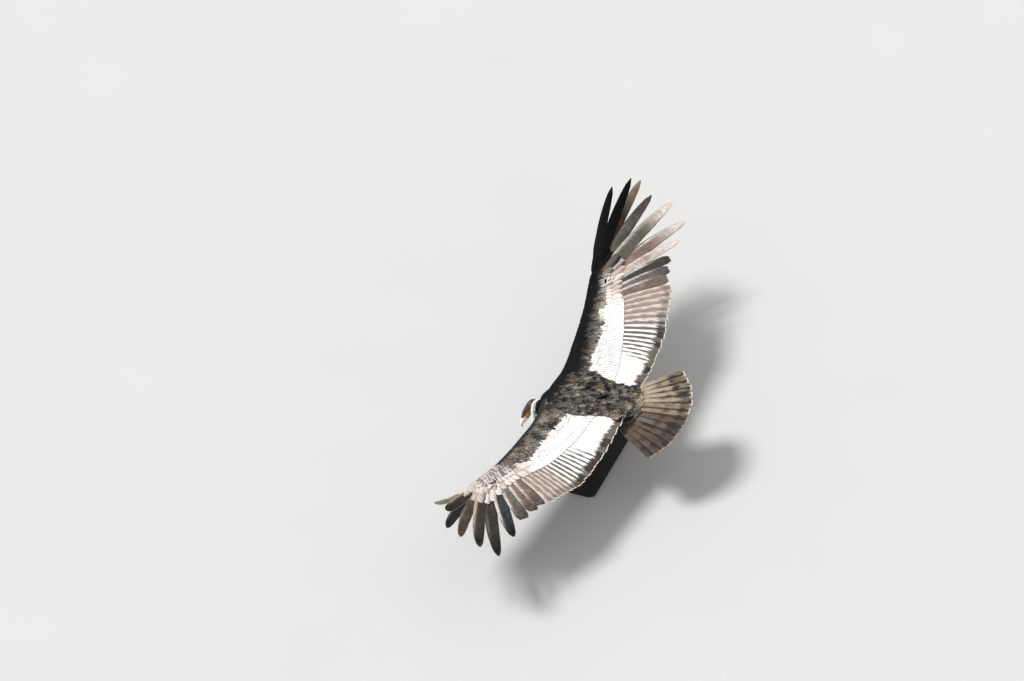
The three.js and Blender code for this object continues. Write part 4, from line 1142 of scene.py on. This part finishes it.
def covert_colours(side, outward, forward, depth, length, seed):
    """Ground and fringe of each covert by its place: the dark edge band, which on the right wing is partly
    painted shade, the mottled field that grows paler towards the wrist, the white panel, and the streaked
    pinkish wrist and hand."""
    draw = np.random.default_rng(seed)
    count = len(outward)
    field = 0.46 + 0.3 * drift(outward, forward, 85, seed) + 0.5 * (draw.random(count) - 0.5)
    field = field + (0.34 if side < 0 else 0.12) * blend(520, 720, outward) * blend(40, 90, depth)
    ground = mottled(field)
    fringe = mottled(field + draw.uniform(-0.1, 0.3, count))
    hand_from = (690, 735) if side > 0 else (775, 815)
    hand = blend(*hand_from, outward + 14 * drift(outward, forward, 40, 8))
    hand = hand * (blend(42, 56, depth) if side < 0 else 1)
    streak = toward(GREY * 1.2, PALE_PINK, blend(0.1, 0.75, draw.random(count)))
    band = np.interp(outward, *DARK_BAND[side]) * (1 + 0.18 * drift(outward, forward, 70, 5))
    edge = blend(band, 0.35 * band, depth) * (1 - hand)
    # The right's edge colour, black with navy, is partly painted shade; the left's is slate.
    edge_colour = BLACK * 0.7 + NAVY * 0.3 if side < 0 else SLATE * 0.5
    front = np.interp(outward, *PANEL_FRONT[side]) + 6 * drift(outward, forward, 50, 7)
    panel = (forward - 0.8 * length < front)[:, None]
    ground = toward(toward(ground, streak, hand), edge_colour, edge)
    fringe = toward(toward(fringe, streak * 1.1, hand), edge_colour * 1.6, edge)
    return np.where(panel, WHITE, ground), np.where(panel, WHITE, fringe)


def coat(name, surface, roots, ways, length, lifts, face, build, columns, colours, trim, seed, bake, **more):
    """One piece of small feathers that lie on a surface, from their roots, ways, lengths and
    lifts. Their build is the rings along a vane, the half width as a share of the length, and
    where the tip begins to round off."""
    rings, width, tip = build
    share = tapered(rings, 1.5)
    line, across, out = lying(surface, *roots, *ways, length, share, *lifts, face)
    half = (length * width)[:, None] * web(share, 0.5, 0.4, tip)
    more["bake"] = np.stack(bake, -1)
    group = vanes(line, across, out, half, half, share, columns, 0.7, *colours, trim, seed, **more)
    feather_piece(name, [group], soft_plumage)


for name, side in SIDES:
    outward, forward, depth, length = wing_rows((1, 236), COVERT_ZONE, (24, 0.15), 0.4, 81 + side)
    colours = covert_colours(side, outward, forward, depth, length, 91 + side)
    count = len(outward)
    draw = np.random.default_rng(95 + side)
    sweep = np.radians(np.interp(outward, *SWEEP) + draw.uniform(-9, 9, count))
    on_hand = blend(690, 780, outward)
    high = 3 + draw.uniform(-0.8, 1.4, count)
    edges, tips = 0.25 + 0.3 * draw.random(count), 0.14 + 0.14 * draw.random(count)
    coat(
        f"lesser_coverts_{name}", wing_side(side, 1), (outward, forward), (np.sin(sweep), -np.cos(sweep)),
        length * (1 + 0.8 * on_hand), (0.5, high), -side, (7, 0.3 - 0.15 * on_hand, 0.5), SMALL, colours,
        np.stack([edges, tips, np.full(count, 0.18)], -1), 97 + side,
        (outward / 1000, 0.5 + depth / 500), under=DUSK, camber=0.16, shaft=0.4, rag=0.1,
    )


# Wings, below. Dark coverts in rows line the underside of the fleshy arm and hand and lie over
# the bases of the flight feathers' quills.
UNDER_ZONE = [[225], [205], [190], [130], [60]]

for name, side in SIDES:
    outward, forward, depth, length = wing_rows((2, 250), UNDER_ZONE, (30, 0.16), 0.5, 111 + side)
    count = len(outward)
    draw = np.random.default_rng(115 + side)
    sweep = np.radians(np.interp(outward, *SWEEP) + draw.uniform(-8, 8, count))
    high = 3.5 + draw.uniform(-1, 1, count)
    ground = np.where((draw.random(count) > 0.3)[:, None], BLACK * 1.4, DUSK * 0.7)
    coat(
        f"under_coverts_{name}", wing_side(side, -1), (outward, forward), (np.sin(sweep), -np.cos(sweep)),
        length, (0.5, high), side, (6, 0.34, 0.6), SMALL, (ground, ground * 1.5), [0.15, 0.1, 0.2],
        117 + side, (outward / 1000, depth / 520), camber=0.16, shaft=0.4, rag=0.1,
    )


# Tail. Twelve stiff feathers fan from the rump, the middle pair on top, buff on the bird's right and dusky
# on its left, partly as painted light on the raised right half and painted shade on the lowered left half,
# each with a dark patch before its pale rounded tip.
TAIL_FEATHERS = 12
TAIL_PIVOT = np.array([0, 200, 30.0])
TAIL_HALF_FAN = math.radians(35)
TAIL_ROOT_REACH = 130
TAIL_REACH = (548, 512)
TAIL_WIDTH = 70
TAIL_STEP = 1.5
TAIL_DROOP = 14
TAIL_GAP_SHADOW_AT = 0.455


def fanned(angle, level, near, far, share, droop, twist=TAIL_TWIST):
    """Straight midlines that fan from a point inside the body in one plane, tilted about the
    body's length, and droop with the square of the share."""
    c, s = math.cos(twist), math.sin(twist)
    turn = np.array([[c, 0, s], [0, 1, 0], [-s, 0, c]])
    way = np.stack([np.sin(angle), np.cos(angle), 0 * angle], -1)
    across = np.stack([np.cos(angle), -np.sin(angle), 0 * angle], -1)
    line = way[:, None] * (near + (far - near)[:, None] * share)[..., None]
    line[..., 2] = level[:, None] - droop * share ** 2
    wide = np.repeat(across[:, None], len(share), 1)
    high = np.broadcast_to([0.0, 0, 1], line.shape)
    return line @ turn.T + TAIL_PIVOT, wide @ turn.T, high @ turn.T


def tail_ground(place, share, side_of, seed):
    """Buff or dusky ground by the side of the tail, partly painted light and shade, a dark line beside the
    shaft, a dark patch before the tip, faint bars and a painted shadow in the gap between two middle
    feathers."""
    draw = np.random.default_rng(seed)
    count = len(place)
    t, s = share[None, :, None], side_of[None, None]
    # Painted light and shade: the raised right half is buff and the lowered left half dusky, over the
    # feathers' own tones.
    buff_and_light = blend(0.12, -0.5, place + 0.15 * draw.uniform(-1, 1, count))
    ground = toward(BROWN * 0.95, BUFF * draw.uniform(0.75, 1.05, (count, 1)), buff_and_light)
    grey = (draw.random(count) > 0.6) & (buff_and_light < 0.5)
    ground = np.where(grey[:, None], GREY * 0.8, ground)[:, None, None]
    phase = draw.uniform(0, 6, count)[:, None, None]
    line = blend(0.3, 0.08, np.abs(s)) * np.ones_like(t)
    start = draw.uniform(0.74, 0.88, count)[:, None, None]
    depth = draw.uniform(0.2, 0.75, count)[:, None, None]
    patch = blend(start - 0.08, start, t) * blend(0.975, 0.94, t) * depth
    cloud = np.sin(19 * t + 2.6 * s + phase) * np.sin(11 * t - 2.2 * s + 2 * phase)
    cloud = blend(0.1, 0.7, cloud) * blend(0.4, 0.6, t) * 0.55
    bars = 0.22 * (0.5 + 0.5 * np.sin(80 * t + 6 * s + 4 * np.sin(23 * t))) * blend(0.3, 0.7, t)
    # Painted shadow: a dark slot in the gap between two middle feathers.
    beside_gap_shadow = (np.abs(place - TAIL_GAP_SHADOW_AT) < 0.02)[:, None, None]
    gap_shadow = beside_gap_shadow * blend(0.4, 0.44, t) * blend(0.62, 0.57, t) * (s < 0.5)
    return toward(ground, DUSK * 0.6, np.clip(0.78 * line + patch + cloud + bars + gap_shadow, 0, 0.97))


rank = np.repeat(np.arange(TAIL_FEATHERS // 2), 2)
hand_side = np.tile([-1, 1], TAIL_FEATHERS // 2)
place = hand_side * (rank + 0.5) / 5.5
level = -TAIL_STEP * (2 * rank + (hand_side > 0))
draw = np.random.default_rng(29)
far = TAIL_REACH[0] + (TAIL_REACH[1] - TAIL_REACH[0]) * (rank / 5) ** 2
far = far + draw.uniform(-4, 4, TAIL_FEATHERS)
tail_share = tapered(48, 1.3)
line, across, out = fanned(place * TAIL_HALF_FAN, level, TAIL_ROOT_REACH, far, tail_share, TAIL_DROOP)
half = TAIL_WIDTH / 2 * web(tail_share, 0.3, 0.4, 0.93)[None] * np.ones((TAIL_FEATHERS, 1))
tail_group = vanes(
    line, across, out, half, half, tail_share, FINE, 0.9, tail_ground(place, tail_share, ring_side, 30),
    np.where((place > 0)[:, None], PINKISH * 0.6, CREAM * 0.8), [0.1, 0.022, 0.2], 33,
    under=UNDER_GREY, camber=0.04, shaft=1.4,
)
feather_piece("tail_feathers", [tail_group], flight_plumage, ("tail",))

# The tail's coverts: three tiers above, which turn level towards the back, and one below.
TAIL_COVERTS = 26
draw = np.random.default_rng(35)
place = np.linspace(-1, 1, TAIL_COVERTS) + draw.uniform(-0.03, 0.03, TAIL_COVERTS)
share = tapered(18, 1.4)
groups = []
for face, level, rise, reach, twist in (
    (1, 6.0, 0, 262, TAIL_TWIST), (1, 7.0, 10, 242, TAIL_TWIST * 0.7), (1, 8.0, 20, 226, TAIL_TWIST * 0.4),
    (-1, -22.0, 0, 300, TAIL_TWIST),
):
    steps = face * 3 * (np.arange(TAIL_COVERTS) % 2)
    far = reach - 34 * place ** 2 + draw.uniform(-12, 12, TAIL_COVERTS)
    line, across, out = fanned(
        place * TAIL_HALF_FAN * 0.92, level + rise * np.abs(place) + steps, TAIL_ROOT_REACH, far, share,
        2.0 * (face > 0), twist,
    )
    half = 19 * web(share, 0.4, 0.4, 0.8)[None] * np.ones((TAIL_COVERTS, 1))
    above = mottled(0.25 + 0.45 * draw.random(TAIL_COVERTS)) * 0.85
    # The coverts turn buff on the right as the tail does: partly painted light.
    above = toward(above, BUFF * draw.uniform(0.4, 0.85, (TAIL_COVERTS, 1)), blend(0.3, -0.5, place))
    pick = draw.random(TAIL_COVERTS)[:, None]
    ground = above if face > 0 else np.where(pick > 0.3, BLACK * 1.4, DUSK)
    groups.append(vanes(
        line, across, face * out, half, half, share, MEDIUM, 0.8, ground, ground * 1.25,
        [0.2, 0.05, 0.2], 37 + face, camber=0.08, shaft=0.8, rag=0.06,
    ))
feather_piece("tail_coverts", groups, soft_plumage)


# Back. The mantle and the scapulars close the gap between the wings and end in a rounded lobe over the root
# of the tail: worn brown, grey and tan feathers with painted shade of gaps down the middle, and a navy-dark
# front that is partly black plumage and partly painted shadow behind the collar.
MANTLE_PITCH = 14.0
# The mantle's reach to each side at places along the body, and the places of its painted gap shade.
MANTLE_EDGE_LEFT = (
    [-160, -128, -104, -60, 50, 200, 340, 372, 392], [-20, 40, 100, 150, 168, 142, 144, 128, 92],
)
MANTLE_EDGE_RIGHT = (
    [-160, -120, -60, 50, 80, 150, 200, 260, 372, 386], [60, 105, 150, 188, 176, 142, 126, 106, 104, 80],
)
MANTLE_GAP_SHADES = [[-75, 106], [-52, 100], [-29, 102], [26, 192], [10, 208], [-6, 226], [-60, 214]]
FAR_BELOW = -200


def back_at(x, y):
    """The upper surface of the bird: a soft maximum of the torso, the wing roots and the stump,
    each of which falls far below the others where it ends."""
    rows = torso_rows(y)
    part = np.clip(1 - (np.abs(x) / rows[..., 1]) ** (2 / TORSO_SQUARENESS), 0, 1)
    torso = rows[..., 3] + rows[..., 2] * part ** (TORSO_SQUARENESS / 2)
    torso = np.where((y < 345) & (part > 0), torso, FAR_BELOW)
    outward = np.maximum(np.abs(x), 70)
    share, high = chord(outward, -y)
    wing = high + flesh_depth(outward, -y, 1) - 42 * blend(0.66, 0.97, share) * blend(125, 45, np.abs(x))
    wing = wing + (7 + 17 * blend(55, 95, np.abs(x))) * blend(0.3, 0.6, share)
    wing = wing + FAR_BELOW * (blend(1.1, 1.4, share) + 1.3 * blend(0.1, -0.25, share))
    rows = read(TAIL_STUMP, np.interp(y, [row[1] for row in TAIL_STUMP], np.linspace(0, 1, 4)))
    part = np.clip(1 - (x / rows[..., 3]) ** 2, 0, 1)
    stump = rows[..., 2] + rows[..., 4] * np.sqrt(part) - x * math.sin(TAIL_TWIST) + 6
    stack = np.stack([torso, wing, np.where(y > 315, stump, FAR_BELOW)]) / 9
    top = stack.max(0)
    z = 9 * (top + np.log(np.exp(stack - top).sum(0)))
    return np.stack([x + 0 * z, y + 0 * z, z], -1)


draw = np.random.default_rng(131)
rows = []
for k, along in enumerate(np.arange(-158, 380, MANTLE_PITCH)):
    wide = (-np.interp(along, *MANTLE_EDGE_RIGHT), np.interp(along, *MANTLE_EDGE_LEFT))
    x = np.arange(wide[0] + MANTLE_PITCH / 2 * (k % 2), wide[1], MANTLE_PITCH)
    rows.append([x + draw.uniform(-4, 4, len(x)), along + draw.uniform(-5, 5, len(x))])
x, y = np.concatenate(rows, 1)
count = len(x)
length = np.interp(y, [-150, -60, 60, 372], [30, 42, 56, 54]) * draw.uniform(0.88, 1.14, count)
length = np.minimum(length, 422 - y)
turn = np.radians(np.interp(x, [-230, 0, 175], [-16, 0, 12]) + draw.uniform(-9, 9, count))
rim = np.maximum(blend(-120, -190, x), blend(120, 165, x))
high = 4.5 + 2 * rim + draw.uniform(-1.5, 2.5, count)
field = 0.42 + 0.3 * drift(x, y, 62, 14) + 0.5 * (draw.random(count) - 0.5)
field = field + 0.12 * np.exp(-((x + 20) / 60) ** 2) * blend(-60, 40, y)
# Painted shade: feathers near these places turn near black to stand for shade in gaps between them.
gap_shade = sum(np.exp(-((x - gap_x) ** 2 + (y + 22 - gap_y) ** 2) / 220) for gap_x, gap_y in MANTLE_GAP_SHADES)
gap_shade = np.clip(1.3 * gap_shade, 0, 1)
# The front rows darken to navy: partly the black plumage there, partly painted shadow behind the collar of
# down.
front_dark_and_shadow = blend(-20, -95, y + 14 * drift(x, y, 80, 15))
ground = toward(mottled(field) * 0.7, TAN * 1.1, blend(112, 140, x) * blend(220, 300, y))
ground = toward(toward(ground, BLACK * 0.5, gap_shade), NAVY * 0.8, front_dark_and_shadow)
fringe = mottled(field + draw.uniform(-0.15, 0.3, count)) * 0.75
fringe = toward(toward(fringe, BLACK, gap_shade), NAVY * 1.5, front_dark_and_shadow)
trim = [0.12 + 0.2 * draw.random(count), 0.08 + 0.12 * draw.random(count), np.full(count, 0.25)]
coat(
    "mantle", back_at, (x, y), (np.sin(turn), np.cos(turn)), length, (1.0, high), 1, (8, 0.27, 0.5), MEDIUM,
    (ground, fringe), np.stack(trim, -1), 133, (0.5 + x / 600, 0.35 + y / 900),
    under=DUSK, camber=0.15, shaft=0.5, rag=0.12,
)


# Breast, belly and flanks. Small black feathers in rows round the body, each over the next one
# behind it, down to the vent.
BELLY_ROW = 14.0
BELLY_SPACING = 12.5

draw = np.random.default_rng(141)
rows = []
for k, along in enumerate(np.arange(-176, 330, BELLY_ROW)):
    girth = 2 * math.pi * np.interp(along + 12, [row[0] for row in TORSO], [row[1] for row in TORSO])
    number = int(girth / BELLY_SPACING)
    angle = 2 * math.pi * (np.arange(number) + 0.5 * (k % 2)) / number
    angle = angle[(np.sin(angle) <= 0.45) | (along <= -95)]
    rows.append([angle, np.full(len(angle), along)])
angle, along = np.concatenate(rows, 1)
count = len(angle)
angle = angle + draw.uniform(-0.04, 0.04, count)
along = along + draw.uniform(-4, 4, count)
length = np.interp(along, [-176, -100, 100, 330], [22, 30, 40, 44]) * draw.uniform(0.88, 1.14, count)
length = np.minimum(length, 352 - along)
aside, high = draw.uniform(-0.001, 0.001, count), 5 + draw.uniform(-1, 2, count)
black = (draw.random(count) > 0.35)[:, None]
ground = np.where(black, BLACK * 1.3, NAVY) * draw.uniform(0.8, 1.3, (count, 1))
coat(
    "belly", lambda a, b: torso_at(a, b, 5.0), (angle, along), (aside, 1.0), length, (0.5, high), -1,
    (7, 0.33, 0.6), SMALL, (ground, ground * 1.7), [0.15, 0.1, 0.25], 143,
    (0.05 + angle / 7.2, 0.3 + along / 800), camber=0.16, shaft=0.4, rag=0.12,
)


# Collar. A thick ring of white down round the foot of the bare neck. Curled tufts stand out from
# it in many tiers and bend back at their tips, furthest on the bird's left.
COLLAR_AT = np.array([26, -195, -54.0])
COLLAR_AXIS = unit(np.array([0.12, -0.99, -0.04]))
COLLAR_RING = 47.0
COLLAR_INNER = 33.0
COLLAR_REACH = 84.0
COLLAR_LEAN = 24.0
COLLAR_LEAN_WAY = math.radians(165)
COLLAR_TUFTS = 1700
DOWN_WHITE = paint("f6f2ec")
DOWN_ROSE = paint("d9c6bb")

first = unit(np.cross(COLLAR_AXIS, [0, 0, 1.0]))
second = np.cross(COLLAR_AXIS, first)
draw = np.random.default_rng(151)
angle = draw.uniform(0, 2 * math.pi, COLLAR_TUFTS)
full = COLLAR_REACH + COLLAR_LEAN * np.cos(angle - COLLAR_LEAN_WAY)
near = draw.random(COLLAR_TUFTS) ** 0.8
start = COLLAR_INNER + near * (full - COLLAR_INNER - 18)
length = draw.uniform(22, 36, COLLAR_TUFTS)
reach = np.minimum(start + length, full * draw.uniform(0.97, 1.05, COLLAR_TUFTS))
face = np.where(draw.random(COLLAR_TUFTS) > 0.42, 1.0, -1.0) * draw.uniform(0.05, 1, COLLAR_TUFTS) ** 0.7
past_ring = np.maximum(start - COLLAR_RING, 0) / (full - COLLAR_RING + 6)
thick = 13 * np.sqrt(np.clip(1 - past_ring ** 2, 0.04, 1))
share = tapered(7, 1.3)
radius = start[:, None] + (reach - start)[:, None] * share
turn = angle[:, None] + draw.uniform(-0.14, 0.14, COLLAR_TUFTS)[:, None] * share
fall = 15 * (np.maximum(radius - COLLAR_RING, 0) / (full[:, None] - COLLAR_RING)) ** 2
curl = draw.uniform(1, 6, COLLAR_TUFTS)[:, None] * np.sin(math.pi * share)
high = (face * thick)[:, None] * (1 - 0.55 * share) + face[:, None] * curl - fall
spoke = np.cos(turn)[..., None] * first + np.sin(turn)[..., None] * second
line = COLLAR_AT + spoke * radius[..., None] + high[..., None] * COLLAR_AXIS
way = unit(np.gradient(line, axis=1))
roll = draw.uniform(-0.6, 0.6, COLLAR_TUFTS)[:, None, None]
out = unit(face[:, None, None] * COLLAR_AXIS + roll * np.cross(way, COLLAR_AXIS))
across = unit(np.cross(way, out))
out = np.cross(across, way)
half = draw.uniform(3.2, 5.6, COLLAR_TUFTS)[:, None] * web(share, 0.55, 0.35, 0.5)
ground = toward(DOWN_WHITE, DOWN_ROSE, 0.5 * draw.random(COLLAR_TUFTS) ** 2)
collar = vanes(
    line, across, out, half, half, share, SMALL, 1.6, ground, WHITE, [0.3, 0.2, 0.1], 153,
    camber=0.25, shaft=0.5, rag=0.22, bake=np.stack([0.02 + angle / 6.6, 0.1 + near * 0.8], -1),
)
feather_piece("collar_down", [collar], plumage_finish("down", 0.95, 0.2, 0.06), ("ruff",))


# Legs. Feathered thighs, then bare grey shanks and feet with rows of scutes, trailed under the
# tail with the toes loosely curled. Each toe ends in a blunt dark claw.
SHANK = [[56, 238, -61, 11, 12], [54, 300, -50, 9, 11], [52, 362, -42, 10, 12]]
SHANK_LENGTH = 124
PALM = [[52, 356, -43, 9, 9], [52, 372, -43, 15, 12], [52, 388, -44, 12, 10]]
# Each toe's turn outwards in degrees, its length and its half width.
TOES = [[-24, 74, 6.5], [0, 104, 7.5], [24, 76, 6.5], [180, 34, 5.5]]
TOE_CURL = math.radians(62)
CLAW_LENGTH = 24
CLAW_CURL = math.radians(26)
THIGH_LENGTH = 160.0
THIGH_ROWS = 15
LEG_GREY = paint("87847e")
LEG_DARK = paint("55524e")
CLAW_DARK = paint("26221f")


def curled(start, way, length, bends):
    """Places of equal steps from a start along a level way, each bent down by its own angle."""
    step = length / (len(bends) - 1)
    ahead = np.concatenate([[0], np.cumsum(np.cos(bends[:-1]))]) * step
    down = np.concatenate([[0], np.cumsum(np.sin(bends[:-1]))]) * step
    return start + way * ahead[:, None] - np.array([0, 0, 1.0]) * down[:, None]


def scuted(surface, rings, sides, pitch, length, depth):
    """A limb's tube with overlapping scutes on its upper side: a saw-tooth height along it."""
    tube = rings_of(surface, sides, np.linspace(0, 1, rings))
    centre = tube.mean(1, keepdims=True)
    tooth = (np.linspace(0, 1, rings) * length / pitch) % 1
    upper = np.clip(np.sin(np.linspace(0, 2 * math.pi, sides, endpoint=False)), 0, 1)
    return centre + (tube - centre) * (1 + depth * tooth[:, None] * upper[None])[..., None]


finish = Finish("claw_horn", 0.35, 0.5)
grain = finish.ramp(finish.noise(finish.object_place(), 500), 0.3, 0.7)
finish.colour(finish.mix(grain, CLAW_DARK * 0.7, CLAW_DARK * 1.6))
finish.bump(grain, 0.2, 0.0004)
claw_horn = finish.material
finish = Finish("leg_scales", 0.6)
plates = finish.cells(finish.object_place(), 330)
finish.colour(finish.mix(finish.ramp(plates, 0.15, 0.6), LEG_DARK, LEG_GREY))
finish.bump(plates, 0.5, 0.001)
for name, side in SIDES:
    limb = [scuted(path_surface(SHANK), 90, 28, 8, SHANK_LENGTH, 0.07), tube_on(PALM, 28, 16)]
    claws = []
    for turn, length, thick in TOES:
        turn, step = math.radians(turn), np.arange(7) / 6
        way = np.array([math.sin(turn) * 0.75, math.cos(turn), 0])
        place = curled(np.array(PALM[1][:3], float), way, length, TOE_CURL * step)
        knuckles = thick * (1 + 0.1 * np.cos(2 * math.pi * step * 3))
        rows = np.column_stack([place, knuckles * (1 - 0.2 * step), knuckles * (1 - 0.28 * step)])
        limb.append(scuted(path_surface(rows), 70, 24, 5.5, length, 0.12))
        step = np.linspace(0, 1, 6)
        place = curled(place[-1], way, CLAW_LENGTH, TOE_CURL + CLAW_CURL * step)
        size = thick * (0.74 - 0.6 * step)
        claws.append(tube_on(np.column_stack([place, size, size]), 16, 24))
    points, quads = joined([tube * [side, 1, 1] for tube in limb])
    make_piece(f"foot_skin_{name}", points, quads, finish.material, (f"foot_{name}",))
    points, quads = joined([tube * [side, 1, 1] for tube in claws])
    make_piece(f"claws_{name}", points, quads, claw_horn)

    draw = np.random.default_rng(161 + side)
    count = THIGH_ROWS ** 2
    angle = np.linspace(0, 2 * math.pi, THIGH_ROWS, endpoint=False)
    angle, along = np.meshgrid(angle, np.linspace(0.1, 0.88, THIGH_ROWS))
    angle = (angle + np.linspace(0, 1.5, THIGH_ROWS)[:, None]).ravel() + draw.uniform(-0.1, 0.1, count)
    along = along.ravel() + draw.uniform(-0.02, 0.02, count)
    length, high = draw.uniform(30, 40, count), draw.uniform(2, 5, count)
    ground = BLACK * 1.3 * draw.uniform(0.8, 1.3, (count, 1))
    coat(
        f"thigh_{name}", path_surface(shrunk(THIGH, 3) * [side, 1, 1, 1, 1]), (angle, along),
        (0.0, 1 / THIGH_LENGTH), length, (0.0, high), -1, (7, 0.26, 0.55), SMALL, (ground, ground * 1.6),
        [0.15, 0.1, 0.25], 163 + side, (0.05 + (angle % (2 * math.pi)) / 7, along),
        camber=0.16, shaft=0.4, rag=0.15,
    )


# Stand. A flat steel base and two rods with flanges, which end in sockets in the torso. The solids
# themselves show here, in a fine black powder coat.
STAND_BLACK = paint("1b1c1e")

finish = Finish("powder_coat", 0.5, 0.4)
speckle = finish.noise(finish.object_place(), 1500)
finish.colour(finish.mix(finish.ramp(speckle, 0.35, 0.65), STAND_BLACK * 0.8, STAND_BLACK * 1.25))
finish.bump(speckle, 0.25, 0.0003)
for name in ("stand_base", "stand_rod_front", "stand_rod_rear"):
    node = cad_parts[name]
    node.data.materials.clear()
    node.data.materials.append(finish.material)


low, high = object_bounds()
